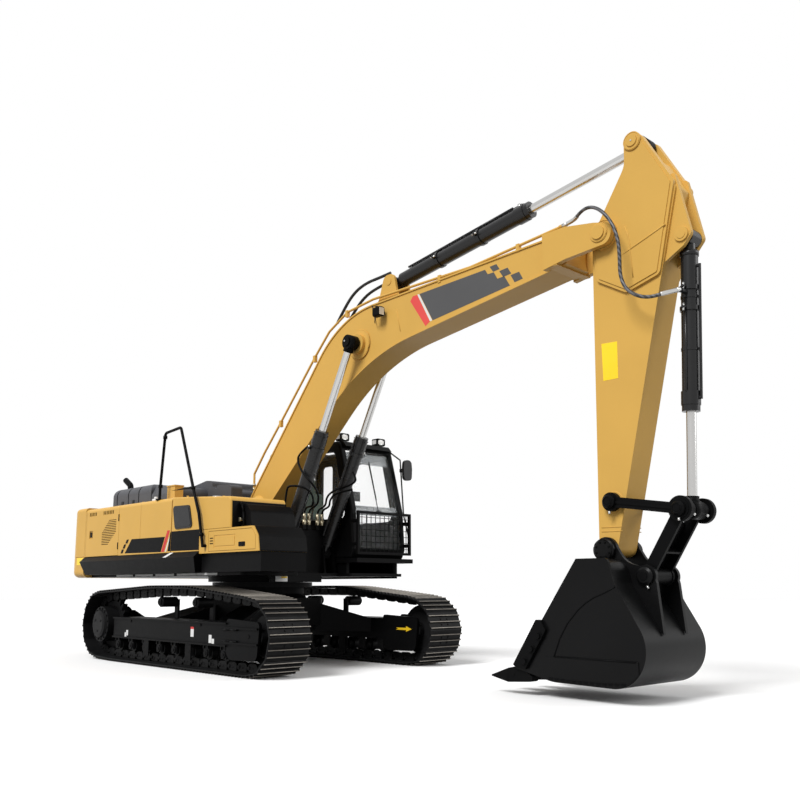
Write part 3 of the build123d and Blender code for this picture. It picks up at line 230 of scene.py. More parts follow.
def put_peg(place, near_y, far_y, radius, sides=16, far_radius=None, index=0):
    """Round bar across the machine, at a place in X and Z."""
    x, z = place
    put_rod((x, near_y, z), (x, far_y, z), radius, sides, far_radius, index)


def put_post(place, low_z, high_z, radius, sides=16, far_radius=None, index=0):
    """Upright round bar, at a place in X and Y."""
    put_rod((*place, low_z), (*place, high_z), radius, sides, far_radius, index)


def round_pin(pin, radius, turn):
    """Place in X and Z on a circle round a pin."""
    return pin[0] + radius * cos(turn), pin[1] + radius * sin(turn)


def half_hull(points):
    """Lower side of the shortest ring round points, which come in order of X."""
    kept = []
    for p in points:
        while len(kept) > 1 and (kept[-1] - kept[-2]).cross(p - kept[-1]) <= 0:
            kept.pop()
        kept.append(p)
    return kept[:-1]


def chain_pins():
    """Pin places in X and Z at equal steps round the taut chain."""
    cloud = set()
    for x, z, tip_radius in CHAIN_WHEELS:
        for step in range(720):
            turn = step * pi / 360
            reach = tip_radius - PIN_DEPTH
            cloud.add((x + reach * cos(turn), z + reach * sin(turn)))
    ordered = [Vector(p) for p in sorted(cloud)]
    ring = half_hull(ordered) + half_hull(ordered[::-1])
    spans = [(b - a).length for a, b in zip(ring, ring[1:] + ring[:1])]
    pitch = sum(spans) / SHOE_COUNT
    pins, travelled, due = [], 0, 0
    for a, b, span in zip(ring, ring[1:] + ring[:1], spans):
        while due <= travelled + span and len(pins) < SHOE_COUNT:
            pins.append(a + (b - a) * (due - travelled) / span)
            due += pitch
        travelled += span
    return pins


def mitred(i, out_by):
    """Corner of the chain at pin i moved outward, so that neighbouring shoes meet on the bend."""
    before, here, after = pins[i - 1], pins[i], pins[(i + 1) % SHOE_COUNT]
    back, on = (here - before).normalized(), (after - here).normalized()
    between = (Vector((back.y, -back.x)) + Vector((on.y, -on.x))).normalized()
    return here + between * out_by / between.dot(Vector((on.y, -on.x)))


pins = chain_pins()
SHOE_GAP, CREST_CAP = 0.004, 0.005
BOLT_SHARES, BOLT_YS, BOLT_RADIUS, BOLT_HEIGHT = (0.3, 0.64), (-0.061, 0.061), 0.013, 0.011
# side view of a link: share of the pitch along, and distance out from the pin line
LINK_SIDE = [(0.06, 0.05), (-0.1, 0.022), (-0.13, -0.012), (-0.02, -0.04), (0.14, -0.0525), (0.62, -0.0525),
             (0.76, -0.036), (0.8, -0.004), (0.74, 0.05)]
shoe_width = (0, 2 * SHOE_HALF_WIDTH, 0)
for side, name in ((-1, "right"), (1, "left")):
    for i, here in enumerate(pins):
        following = pins[(i + 1) % SHOE_COUNT]
        along = (following - here).normalized()
        pitch = (following - here).length
        out = Vector((along.y, -along.x))

        def at(share, height, across):
            """Point of this link: share of the pitch, distance out from the pins, distance across."""
            flat = here + along * share * pitch + out * height
            return (flat.x, side * TRACK_MID_Y + across, flat.y)

        def edge(flat):
            """Point of the shoe's near side from its place in X and Z."""
            return (flat.x, side * TRACK_MID_Y - SHOE_HALF_WIDTH, flat.y)

        base, top = RAIL_HEIGHT / 2, RAIL_HEIGHT / 2 + SHOE_PLATE
        start_in, start_out = mitred(i, base), mitred(i, top)
        end_in, end_out = mitred((i + 1) % SHOE_COUNT, base), mitred((i + 1) % SHOE_COUNT, top)
        put_prism([edge(start_in), edge(end_in), edge(end_out - along * SHOE_GAP), edge(start_out)],
                  shoe_width)
        length = (end_out - start_out).length

        def crest(share, offset, height):
            """Point of a grouser: share of the shoe's length, offset from there, height over the plate."""
            return edge(start_out + along * (share * length + offset) + out * height)

        for share in GROUSER_PLACES:
            foot, half, shoulder = GROUSER_BASE / 2, GROUSER_CREST / 2, GROUSER_HEIGHT - CREST_CAP
            put_prism([crest(share, -foot, 0), crest(share, foot, 0), crest(share, half, shoulder),
                       crest(share, -half, shoulder)], shoe_width)
            put_prism([crest(share, -half, shoulder), crest(share, half, shoulder),
                       crest(share, half * 0.6, GROUSER_HEIGHT), crest(share, -half * 0.6, GROUSER_HEIGHT)],
                      shoe_width, index=1)
        for share in BOLT_SHARES:
            for across in BOLT_YS:
                bolt_foot, bolt_head = at(share, top - 0.002, across), at(share, top + BOLT_HEIGHT, across)
                put_rod(bolt_foot, bolt_head, BOLT_RADIUS, 6)
        for across in (-RAIL_OUTER_Y, RAIL_INNER_Y):
            put_prism([at(share, height, across) for share, height in LINK_SIDE],
                      (0, RAIL_OUTER_Y - RAIL_INNER_Y, 0))
        pin_end = RAIL_OUTER_Y + LINK_PIN_PROUD
        put_rod(at(0, 0, -pin_end), at(0, 0, pin_end), LINK_PIN_RADIUS, 12)
        bolt_end = RAIL_OUTER_Y + 0.006
        put_rod(at(0.36, 0.004, -bolt_end), at(0.36, 0.004, bolt_end), 0.013, 6)
    track_chain = finished(f"track_chain_{name}", "undercarriage", "dark_steel", steel, worn_steel)
    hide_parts(f"track_{name}")

# -------- rollers, final drives and track frames
# Cast wheels on greased axles. The travel motor's cover is a bolted disc, and the frame carries
# bolted guards, a grease hatch, a cover over the spring and blank labels.
FRAME_OUT_Y = 1.49
# heads on the drive's cover: how many, first angle, circle, near and far Y, radius, corners
DRIVE_HEADS = ((16, pi / 16, 0.228, 1.528, 1.546, 0.014, 6), (3, 0.5, 0.1, 1.572, 1.58, 0.018, 8))
# blank labels: rear X, low Z, width, height, colour (0 white, 2 red)
FRAME_LABELS = ((-1.27, 0.35, 0.055, 0.06, 0), (-1.225, 0.37, 0.055, 0.075, 0),
                (0.55, 0.42, 0.075, 0.125, 0), (0.55, 0.518, 0.075, 0.027, 2), (0.99, 0.36, 0.065, 0.1, 0),
                (1.06, 0.355, 0.055, 0.06, 0))
ARROW = [(1.66, 0.466), (1.86, 0.466), (1.86, 0.444), (1.97, 0.481), (1.86, 0.518), (1.86, 0.496),
         (1.66, 0.496), (1.7, 0.481)]
label_white = enamel("label_white", (0.7, 0.7, 0.69), 0.45, tone=0.03, shine=0.3)
label_yellow = enamel("label_yellow", (0.78, 0.5, 0.015), 0.45, tone=0.04, shine=0.3)
label_red = enamel("label_red", (0.55, 0.025, 0.022), 0.4, tone=0.04, shine=0.3)
for side in (-1, 1):
    for count, first, circle, near_y, far_y, radius, sides in DRIVE_HEADS:
        for i in range(count):
            place = round_pin(DRIVE, circle, 2 * pi * i / count + first)
            put_peg(place, side * near_y, side * far_y, radius, sides)
    for x in ROLLER_XS:
        put_peg((x, ROLLER_TIP), side * 1.46, side * 1.486, 0.046, 20)
        put_peg((x, ROLLER_TIP), side * 1.486, side * 1.492, 0.02, 12)
        for dx in (-0.048, 0.048):
            put_box((x + dx - 0.011, side * 1.44, 0.285), (x + dx + 0.011, side * 1.486, 0.335))
    for x in CARRIER_XS:
        put_peg((x, CARRIER_Z), side * 1.418, side * 1.436, 0.045, 20)
        put_peg((x, CARRIER_Z), side * 1.436, side * 1.442, 0.018, 10)
    for x in (-1.1, 0.78):
        put_peg((x, 0.575), side * 1.486, side * 1.5, 0.02, 12)
    put_peg((1.86, 0.47), side * 1.486, side * 1.496, 0.026, 16)
    for x in (1.42, 1.58):
        for z in (0.4, 0.54):
            put_rod((x - 0.09, side * 1.502, z), (x + 0.06, side * 1.502, z), 0.014, 12)
finished("track_frame_fittings", "undercarriage", "black_paint", black)
for side in (-1, 1):
    for x0, z0, wide, tall, index in FRAME_LABELS:
        lift = 0.001 if index else 0
        near_y, far_y = side * (FRAME_OUT_Y - lift), side * (FRAME_OUT_Y + 0.0015 + lift)
        put_box((x0, near_y, z0), (x0 + wide, far_y, z0 + tall), index)
    inner_y = side * (TRACK_MID_Y - 0.19)
    put_prism([(x, inner_y, z) for x, z in ARROW], (0, -side * 0.0015, 0), 1)
finished("track_frame_labels", "undercarriage", "yellow_paint", label_white, label_yellow, label_red)

# -------- counterweight and housing panels
# Cast counterweight with reflective corner plates. The housing's sheet panels carry grilles with painted
# shade in their slots, paddle latches, hinge pins, and a painted band with a red and a white slash.
SIDE_Y = 1.485
FILM = 0.0015
reflector_yellow = enamel("reflector_yellow", (0.95, 0.66, 0.01), 0.25, tone=0.05, grain=900, relief=0.4)
# painted shade: a dark brown-black fill set into slots, louvres, latch recesses and vents, standing in for
# the shade inside them
painted_slot_shade = enamel("painted_slot_shade", (0.035, 0.022, 0.008), 0.8, tone=0.1, shine=0.1)


def put_plate(outline, side, rest_y=SIDE_Y, thick=FILM, index=0):
    """Flat plate on a side wall: outline in X and Z, resting on the wall at rest_y."""
    put_prism([(x, side * rest_y, z) for x, z in outline], (0, side * thick, 0), index)


def rect(x0, x1, z0, z1):
    """Corners of an upright rectangle in X and Z."""
    return [(x0, z0), (x1, z0), (x1, z1), (x0, z1)]


def rounded_outline(corners, radius, steps=5):
    """Outline in X and Z with its corners turned into arcs."""
    ring = []
    points = [Vector(p) for p in corners]
    for i, here in enumerate(points):
        back = (points[i - 1] - here).normalized()
        on = (points[(i + 1) % len(points)] - here).normalized()
        half = back.angle(on) / 2
        centre = here + (back + on).normalized() * radius / sin(half)
        first = here + back * radius / tan(half) - centre
        last = here + on * radius / tan(half) - centre
        for step in range(steps + 1):
            ring.append(tuple(centre + first.lerp(last, step / steps).normalized() * radius))
    return ring


BAND = [(-1.197, 1.741), (-0.226, 1.735), (-0.33, 1.53), (-1.398, 1.54)]
CHECKS = [[(-1.529, 1.543), (-1.462, 1.543), (-1.425, 1.6), (-1.492, 1.6)],
          [(-1.468, 1.612), (-1.402, 1.612), (-1.362, 1.672), (-1.428, 1.672)],
          [(-1.39, 1.684), (-1.322, 1.684), (-1.285, 1.74), (-1.352, 1.74)]]
RED_SLASH = [(-0.164, 1.82), (-0.093, 1.818), (-0.237, 1.53), (-0.318, 1.53)]
WHITE_SLASH = [(-0.076, 1.78), (-0.076, 1.74), (-0.182, 1.53), (-0.214, 1.53)]
for outline in [BAND] + CHECKS:
    put_plate(outline, -1)
put_plate(RED_SLASH, -1, index=1)
put_plate(WHITE_SLASH, -1, index=2)
# on the left the housing ends behind the cab, so the band is shorter there
LEFT_END_X, LEFT_WALL_X, BAND_LOW, BAND_HIGH, LEAN = -0.72, -0.645, 1.53, 1.75, 0.11
left_band = [(x if x < LEFT_END_X else LEFT_END_X + (z - BAND_LOW) * 0.5, z) for x, z in BAND]
for outline in [left_band] + CHECKS:
    put_plate(outline, 1)
for shift, wide, index in ((0.02, 0.075, 1), (0.065, 0.03, 2)):
    start = LEFT_END_X + shift
    slash = [(start, BAND_LOW), (start + wide, BAND_LOW), (start + wide + LEAN, BAND_HIGH),
             (start + LEAN, BAND_HIGH)]
    put_plate([(min(x, LEFT_WALL_X), z) for x, z in slash], 1, index=index)
finished("side_band", "upper", "black_paint", black, label_red, label_white)

for side in (-1, 1):
    put_plate([(-3.03, 1.4), (-2.8, 1.39), (-2.8, 1.51), (-3.03, 1.513)], side, SIDE_Y, 0.003)
    put_box((-3.4215, side * 0.72, 1.36), (-3.418, side * 0.95, 1.46))
finished("reflectors", "upper", "yellow_paint", reflector_yellow)

put_post((-0.76, -1.36), 2.265, 2.3, 0.055, 20, 0.05)
put_post((-0.76, -1.36), 2.3, 2.335, 0.03, 16, 0.022)
for y in (-1.3, 1.3):
    put_post((-1.22, y), 2.268, 2.296, 0.035, 16, 0.03, index=1)
for x in (-3.15, -2.95):
    for y in (-0.55, 0.55):
        put_post((x, y), 2.298, 2.306, 0.045, 20, index=1)
finished("roof_fittings", "upper", "yellow_paint", label_white, yellow)

# service doors: painted shade fills their slots, louvres and latch recess; each has a latch and two hinge
# pins
GRILLE_LOW, GRILLE_HIGH, GRILLE_ROWS, SLOT_HEIGHT, SLOT_DEPTH = 1.69, 2.05, 15, 0.011, 0.014
GRILLE_REAR, GRILLE_WIDTH, GRILLE_SHIFT = -2.185, 0.225, 0.245
LOUVRES, LOUVRE_PITCH, LOUVRE_HALF = ((-2.65, -2.37), (-2.17, -1.76)), 0.052, 0.016
for side, body in ((-1, "right_service_door"), (1, "left_service_door")):
    floor_y, fill = SIDE_Y - SLOT_DEPTH, SLOT_DEPTH - 0.002
    for i in range(GRILLE_ROWS):
        share = i / (GRILLE_ROWS - 1)
        x0 = GRILLE_REAR + GRILLE_SHIFT * max(share - 0.5, 0) * 1.8
        x1 = GRILLE_REAR + GRILLE_WIDTH + GRILLE_SHIFT * min(share * 2, 1)
        z = GRILLE_LOW + (GRILLE_HIGH - GRILLE_LOW) * share
        put_plate(rect(x0, x1, z, z + SLOT_HEIGHT), side, floor_y, fill)
    for x0, x1 in LOUVRES:
        for i in range(int((x1 - x0) / LOUVRE_PITCH + 1e-6)):
            x = x0 + LOUVRE_PITCH * (i + 0.5)
            put_plate(rect(x - LOUVRE_HALF, x + LOUVRE_HALF, 2.15, 2.205), side, floor_y, fill * 0.6)
    recess, paddle = rect(-2.606, -2.56, 1.818, 1.902), rect(-2.55, -2.52, 1.82, 1.9)
    put_plate(rounded_outline(recess, 0.008), side, SIDE_Y - 0.012, 0.009)
    put_plate(rounded_outline(paddle, 0.008), side, SIDE_Y - 0.004, 0.006, 1)
    for z in (1.66, 2.08):
        hinge_y = side * (SIDE_Y + 0.002)
        put_post((-1.632, hinge_y), z - 0.05, z + 0.05, 0.009, 10, index=1)
    finished(f"{body}_fittings", body, "yellow_paint", painted_slot_shade, black)

# -------- skirts, tank and tool box
# Folded black skirts with a white slash, a tank with a soft cover over its hose port and a bare
# black panel below it, and a tool box whose lid has three pressed vents drawn as strips of painted shade,
# and a paddle latch.
SLOPE_IN_Y, SLOPE_HIGH, SLOPE_OUT_Y, SLOPE_LOW = -1.489, 1.51, -1.554, 1.446
put_prism([(-0.06, SLOPE_IN_Y, SLOPE_HIGH), (0.03, SLOPE_IN_Y, SLOPE_HIGH), (-0.06, SLOPE_OUT_Y, SLOPE_LOW),
           (-0.15, SLOPE_OUT_Y, SLOPE_LOW)], (0, -FILM, FILM))
finished("skirt_slash", "upper", "black_paint", label_white)

COVER = [(-0.02, 2.142), (0.415, 2.132), (0.505, 1.832), (0.056, 1.826)]
RAISED = [(0.01, 2.118), (0.395, 2.108), (0.475, 1.856), (0.078, 1.85)]
# outline, radius of its corners, Y it rests on, thickness
TANK_COVER = ((COVER, 0.045, SIDE_Y, 0.014), (RAISED, 0.035, SIDE_Y + 0.013, 0.006))
for outline, corner, rest_y, thick in TANK_COVER:
    put_plate(rounded_outline(outline, corner), -1, rest_y, thick)
PANEL = [(-0.058, 1.8), (0.672, 1.797), (0.672, 1.528), (-0.058, 1.534)]
PANEL_EDGE = [(-0.07, 1.79), (-0.07, 1.534), (-0.142, 1.534), (-0.085, 1.79)]
for outline in (PANEL, PANEL_EDGE):
    put_plate(outline, -1, index=1)
put_post((0.3, -1.0), 2.262, 2.292, 0.07, 24, 0.062, index=2)
for x in (0.2, 1.1):
    for y in (-1.4, -0.72):
        put_post((x, y), 2.17, 2.295 - 0.075 * (x + 0.06), 0.016, 10, index=3)
finished("tank_fittings", "upper", "yellow_paint", dark_plastic, black, zinc, yellow)

BOX_FRONT = [(2.0355, 1.4795), (2.0355, 1.492), (2.01, 1.65), (1.995, 1.68), (1.915, 1.78), (1.905, 1.7865)]
TANK_FRONT = [(1.4005, 1.788), (1.3995, 1.9), (1.3935, 2.125)]
# X and Z up each front, its two sides in Y, thickness
FRONTS = ((BOX_FRONT, -1.47, -0.762, (0.003, 0, 0.001)), (TANK_FRONT, -1.458, -0.642, (0.0035, 0, 0)))
for profile, y0, y1, thick in FRONTS:
    for (x0, z0), (x1, z1) in zip(profile, profile[1:]):
        put_prism([(x0, y0, z0), (x1, y0, z1), (x1, y1, z1), (x0, y1, z0)], thick)
put_box((1.2, -0.74, 1.118), (1.246, 0.1, 1.1995))
finished("front_end_plates", "upper", "black_paint", black)

RAIL = [(1.215, 2.086), (1.4, 2.1), (1.44, 2.08), (1.476, 1.985), (1.497, 1.8)]
for (x0, z0), (x1, z1) in zip(RAIL, RAIL[1:]):
    put_rod((x0, -1.345, z0), (x1, -1.345, z1), 0.014, 12)
for x, z in ((1.415, 1.891), (1.33, 1.871)):
    put_peg((x, z), -1.321, -1.35, 0.02, 6, index=1)
    put_peg((x, z), -1.35, -1.364, 0.026, 16, index=1)
put_box((1.2462, -0.67, 1.124), (1.248, -0.475, 1.194), 2)
put_box((1.248, -0.575, 1.168), (1.2485, -0.48, 1.19), 3)
finished("step_box_fittings", "upper", "black_paint", black, brass, label_white, label_yellow)

# the three vents are thin strips of painted shade laid on the lid
VENT_LOW, VENT_STEP, VENT_TALL = 1.592, 0.034, 0.014
for i in range(3):
    z = VENT_LOW + VENT_STEP * i
    put_plate(rect(0.935, 1.012, z, z + VENT_TALL), -1, SIDE_Y, 0.001)
put_plate(rounded_outline(rect(1.6, 1.74, 1.545, 1.6), 0.012), -1, SIDE_Y, 0.006, 1)
put_peg((1.7, 1.572), -SIDE_Y - 0.006, -SIDE_Y - 0.01, 0.01, 12, index=1)
finished("tool_door_fittings", "tool_door", "yellow_paint", painted_slot_shade, black)

# -------- hoods, valve bank and handrails
# Moulded dark grey hoods held by rubber latches, the swivel block with pale metal fittings between
# the boom's feet, and painted tube rails with clamp rings.
for x in (-2.32, -1.96):
    for side in (-1, 1):
        put_box((x - 0.03, side * 1.098, 2.3), (x + 0.03, side * 1.112, 2.39))
finished("hood_latches", "hood", "dark_plastic", dark_plastic)

VALVE_X, FITTING_YS = 1.09, (-0.09, -0.01, 0.14, 0.22)
put_box((0.9, -0.2, 1.242), (1.06, 0.31, 1.84), 1)
for y in FITTING_YS:
    put_box((0.98, y - 0.03, 1.84), (1.1, y + 0.03, 1.9), 1)
    put_post((VALVE_X, y), 1.9, 1.97, 0.031, 6)
    put_post((VALVE_X, y), 1.97, 2.06, 0.024, 16)
finished("valve_bank", "upper", "dark_plastic", brass, black)

for x, y, z in ((0.555, -1.53, 2.345), (0.8, -1.53, 1.72), (-0.49, -1.44, 2.46), (-0.41, -1.44, 3.15)):
    put_post((x, y), z - 0.022, z + 0.022, 0.03, 16)
put_post((-0.505, -1.44), 2.262, 2.278, 0.055, 20)
finished("rail_fittings", "upper", "black_paint", black)

# -------- cab
# Rolled-tube cab frame with rubber-sealed panes. Inside are a cloth seat, a pillar screen and a
# sun blind; outside are a wiper, a door handle, hinges, two roof lamps and a mirror.
CAB_IN_Y = 0.46
WINDSCREEN = ((1.428, 2.13), (1.18, 2.99))
lens_white = enamel("lamp_lens", (0.75, 0.75, 0.72), 0.12, tone=0.05, grain=120, relief=0.5, shine=0.8)
tint_band = see_through("tinted_film", (0.16, 0.19, 0.21), 0.15, 0.62)


def on_windscreen(y, share, off=0.0):
    """Point on the windscreen: y across, share of the way from the sill to the brow, off its outer side."""
    (low_x, low_z), (high_x, high_z) = WINDSCREEN
    normal = Vector((high_z - low_z, 0, low_x - high_x)).normalized()
    return Vector((low_x + (high_x - low_x) * share, y, low_z + (high_z - low_z) * share)) + normal * off


BLIND_Y0, BLIND_Y1 = 0.57, 1.36
film_corners = ((BLIND_Y0, 0.8), (BLIND_Y1, 0.8), (BLIND_Y1, 0.985), (BLIND_Y0, 0.985))
upper_film = [on_windscreen(y, share, -0.016) for y, share in film_corners]
lower_film = [(1.405, BLIND_Y0, 2.06), (1.405, BLIND_Y1, 2.06), (1.398, BLIND_Y1, 2.19),
              (1.398, BLIND_Y0, 2.19)]
for outline in (upper_film, lower_film):
    put_prism(outline, (-0.003, 0, 0))
finished("sun_blind", "upper", "clear_glass", tint_band)

# arm, blade and pivot: Y, share up the windscreen and height off it at each end, radius, corners
WIPER = ((0.95, -0.02, 0.03, 0.8, 0.02, 0.006, 8), (0.97, 0.18, 0.014, 0.84, 0.014, 0.008, 6),
         (0.95, -0.02, -0.006, -0.02, 0.036, 0.018, 12))
for y, low, low_off, high, high_off, radius, sides in WIPER:
    put_rod(on_windscreen(y, low, low_off), on_windscreen(y, high, high_off), radius, sides)
put_box((1.462, 0.9, 2.085), (1.48, 1.0, 2.125))
finished("wiper", "upper", "dark_plastic", dark_plastic)

for y in (0.548, 1.382):
    put_rod(on_windscreen(y, 0, 0.004), on_windscreen(y, 1, 0.004), 0.009, 8)
put_post((0.95, 0.9), 2.16, 2.42, 0.012, 8)
put_box((0.965, 0.82, 2.3), (0.985, 1.02, 2.44))
put_post((1.09, 0.66), 2.18, 2.22, 0.012, 8)
for y in (0.6, 0.82):
    put_post((1.36, y), 1.96, 2.17, 0.01, 8)
put_peg((1.36, 2.17), 0.6, 0.82, 0.01, 8)
finished("cab_inner_fittings", "upper", "dark_plastic", dark_plastic)

put_box((0.84, 1.49, 1.935), (1.02, 1.5, 1.975))
for z in (1.72, 2.78):
    put_post((-0.052, 1.472), z - 0.06, z + 0.06, 0.016, 12)
    put_box((-0.045, 1.468, z - 0.045), (0.035, 1.474, z + 0.045))
finished("cab_door_fittings", "cab_door_leaf", "black_paint", black)

for y in (0.62, 1.33):
    put_box((1.0985, y - 0.066, 3.168), (1.1, y + 0.066, 3.242), 1)
    put_box((1.0995, y - 0.054, 3.178), (1.103, y + 0.054, 3.232))
    put_box((1.0, y - 0.0865, 3.175), (1.085, y - 0.085, 3.235), 1)
    put_post((1.04, y), 3.258, 3.266, 0.014, 6)
finished("roof_lamp_faces", "upper", "clear_glass", lens_white, zinc)

MIRROR = [(-0.062, -0.135), (0.062, -0.135), (0.072, 0.02), (0.058, 0.14), (-0.058, 0.14), (-0.072, 0.02)]
mirror_ring = [(1.3995, 1.56 + y, 2.765 + z) for y, z in rounded_outline(MIRROR, 0.035)]
put_prism(mirror_ring, (-0.003, 0, 0))
finished("mirror_glass", "upper", "chrome_rod", chrome)

for x, z in ((-0.4, 1.62), (0.3, 1.62), (0.95, 1.62)):
    put_box((x, CAB_IN_Y - 0.004, z), (x + 0.3, CAB_IN_Y + 0.002, z + 0.28))
for x in (-0.48, -0.1, 0.4, 0.8):
    put_peg((x, 3.04), CAB_IN_Y - 0.003, CAB_IN_Y - 0.012, 0.012, 6)
for y in (0.55, 1.38):
    for x in (-0.35, 1.2):
        put_post((x, y), 1.392, 1.33, 0.06, 20, 0.048)
finished("cab_outside_fittings", "upper", "black_paint", black)

for y0, y1 in ((0.73, 0.755), (1.175, 1.2)):
    put_box((-0.1, y0, 2.02), (0.24, y1, 2.07))
for z in (2.12, 2.24, 2.36):
    back_x = -0.085 - (z - 2.0) * 0.16
    put_box((back_x, 0.76, z), (back_x + 0.007, 1.17, z + 0.008))
finished("seat_trim", "upper", "seat_fabric", dark_plastic)

put_box((0.72, -0.742, 1.205), (0.724, -0.542, 1.236))
for x in (-1.9, -1.3, -0.7, -0.1, 0.4):
    put_box((x, -1.3515, 1.206), (x + 0.52, -1.35, 1.234))
finished("deck_edge_plates", "upper", "yellow_paint", label_white)

# -------- boom
# Welded box boom with a blank dark panel and checks on each side, weld beads round its pivots,
# a work lamp with its cable, pipe unions, and rubber hoses over the crank to the arm cylinder.
PANEL_Y = 0.186
# pins across the machine, by their X and Z
BOOM_FOOT, LIFT_BASE, LIFT_EYE, ARM_PIVOT = (0.09, 2.15), (0.97, 1.52), (2.36, 4.18), (6.12, 4.55)
ARM_CYL_BASE, ARM_CYL_EYE, BUCKET_CYL_BASE = (2.85, 4.93), (6.48, 5.43), (6.92, 4.34)
IDLER_PIN, LINK_PIN, H_LINK_PIN, BUCKET_PIN = (6.08, 1.86), (6.8, 1.75), (6.42, 1.15), (6.0, 1.4)
boom_grey = enamel("panel_grey", (0.072, 0.072, 0.074), 0.45, tone=0.05, shine=0.3)
pale_red = enamel("panel_red", (0.72, 0.075, 0.065), 0.4, tone=0.04, shine=0.3)
PANEL_BODY = [(3.46, 4.6), (4.521, 4.624), (4.56, 4.56), (4.65, 4.56), (4.7, 4.47), (4.8, 4.475),
              (4.878, 4.346), (3.683, 4.216)]
PANEL_CHECKS = [[(4.59, 4.64), (4.69, 4.646), (4.735, 4.576), (4.64, 4.568)],
                [(4.73, 4.552), (4.85, 4.56), (4.9, 4.48), (4.785, 4.468)],
                [(4.89, 4.462), (5.01, 4.47), (5.06, 4.378), (4.945, 4.366)]]
PANEL_WHITE = [(3.425, 4.6), (3.455, 4.6), (3.675, 4.216), (3.64, 4.212)]
PANEL_RED = [(3.3, 4.545), (3.345, 4.598), (3.42, 4.6), (3.635, 4.211), (3.56, 4.17)]
BOOM_MARKS = [(0, outline) for outline in [PANEL_BODY] + PANEL_CHECKS] + [(1, PANEL_WHITE), (2, PANEL_RED)]
for side in (-1, 1):
    for index, outline in BOOM_MARKS:
        put_plate(outline, side, PANEL_Y, FILM, index)
finished("boom_panel_marks", "boom_assembly", "yellow_paint", boom_grey, label_white, pale_red)


def put_bead(points, radius, closed=False, index=0):
    """Round bead or tube along points, with a ring of eight at each."""
    rings = []
    count = len(points)
    for i, here in enumerate(points):
        here = Vector(here)
        before = Vector(points[i - 1]) if (i or closed) else here
        after = Vector(points[(i + 1) % count]) if (i < count - 1 or closed) else here
        on = (after - before).normalized()
        aside = on.cross(Vector((0, 0, 1)) if abs(on.z) < 0.9 else Vector((1, 0, 0))).normalized()
        above = on.cross(aside)
        rings.append([faces_put.verts.new(here + (aside * cos(a) + above * sin(a)) * radius)
                      for a in (pi / 4 * k for k in range(8))])
    pairs = list(zip(rings, rings[1:])) + ([(rings[-1], rings[0])] if closed else [])
    for first, second in pairs:
        for k in range(8):
            face = faces_put.faces.new((first[k], first[(k + 1) % 8], second[(k + 1) % 8], second[k]))
            face.smooth = True
            face.material_index = index
    if not closed:
        faces_put.faces.new(rings[0][::-1]).material_index = index
        faces_put.faces.new(rings[-1]).material_index = index


def put_ring(pin, y, radius, bead, steps=40):
    """Weld bead round a boss in the X Z plane."""
    places = (round_pin(pin, radius, 2 * pi * i / steps) for i in range(steps))
    points = [(x, y, z) for x, z in places]
    put_bead(points, bead, True)


for side in (-1, 1):
    for pin, y, radius in ((LIFT_EYE, 0.201, 0.195), (ARM_PIVOT, 0.306, 0.098), (BOOM_FOOT, 0.3, 0.152)):
        put_ring(pin, side * y, radius, 0.006)
    for x0, z0, x1, z1 in ((3.05, 4.5, 3.12, 4.2), (5.4, 4.68, 5.47, 4.38)):
        put_bead([(x0, side * 0.187, z0), (x1, side * 0.187, z1)], 0.004)
    put_peg(ARM_PIVOT, side * 0.332, side * 0.3325, 0.012, 10)
    put_rod((5.56, side * 0.175, 4.8161), (5.6, side * 0.175, 4.8205), 0.024, 6)
    for z in (2.46, 2.52):
        put_post((-0.02, side * 0.175), z, z + 0.035, 0.025, 6, index=1)
    put_peg(LIFT_EYE, side * 0.206, side * 0.262, 0.052, 24)
finished("boom_fittings", "boom_assembly", "yellow_paint", yellow, brass)

put_box((2.8785, -0.325, 4.452), (2.8815, -0.245, 4.548))
put_box((2.795, -0.33, 4.562), (2.845, -0.24, 4.566), 1)
put_peg((2.82, 4.5), -0.237, -0.225, 0.022, 12, index=2)
put_bead([(2.765, -0.275, 4.47), (2.73, -0.265, 4.4), (2.7, -0.235, 4.39), (2.665, -0.205, 4.45),
          (2.64, -0.2, 4.56), (2.6, -0.2, 4.66)], 0.006, index=1)
finished("boom_lamp_fittings", "boom_assembly", "clear_glass", lens_white, rubber, brass)


def smooth_tube(name, points, radius):
    """Curve that rounds off these control points."""
    curve = bpy.data.curves.new(name, "CURVE")
    curve.dimensions = "3D"
    curve.bevel_depth, curve.bevel_resolution, curve.resolution_u = radius, 3, 8
    curve.use_fill_caps = True
    spline = curve.splines.new("NURBS")
    spline.points.add(len(points) - 1)
    for point, at in zip(spline.points, points):
        point.co = (*at, 1)
    spline.order_u = 3
    spline.use_endpoint_u = True
    return curve


def centreline(name, points):
    """Points along a smooth tube's middle, in order."""
    bare = smooth_tube(name, points, 0)
    holder = bpy.data.objects.new(name, bare)
    mesh = bpy.data.meshes.new_from_object(holder)
    line = [vertex.co.copy() for vertex in mesh.vertices]
    bpy.data.meshes.remove(mesh)
    bpy.data.objects.remove(holder)
    return line


def along_line(line, start, end):
    """The stretch of a line between two distances from its beginning."""
    kept, travelled = [], 0
    for a, b in zip(line, line[1:]):
        span = (b - a).length
        for limit in (start, end):
            if travelled <= limit < travelled + span:
                kept.append(a + (b - a) * (limit - travelled) / span)
        travelled += span
        if start < travelled < end:
            kept.append(b)
    return kept


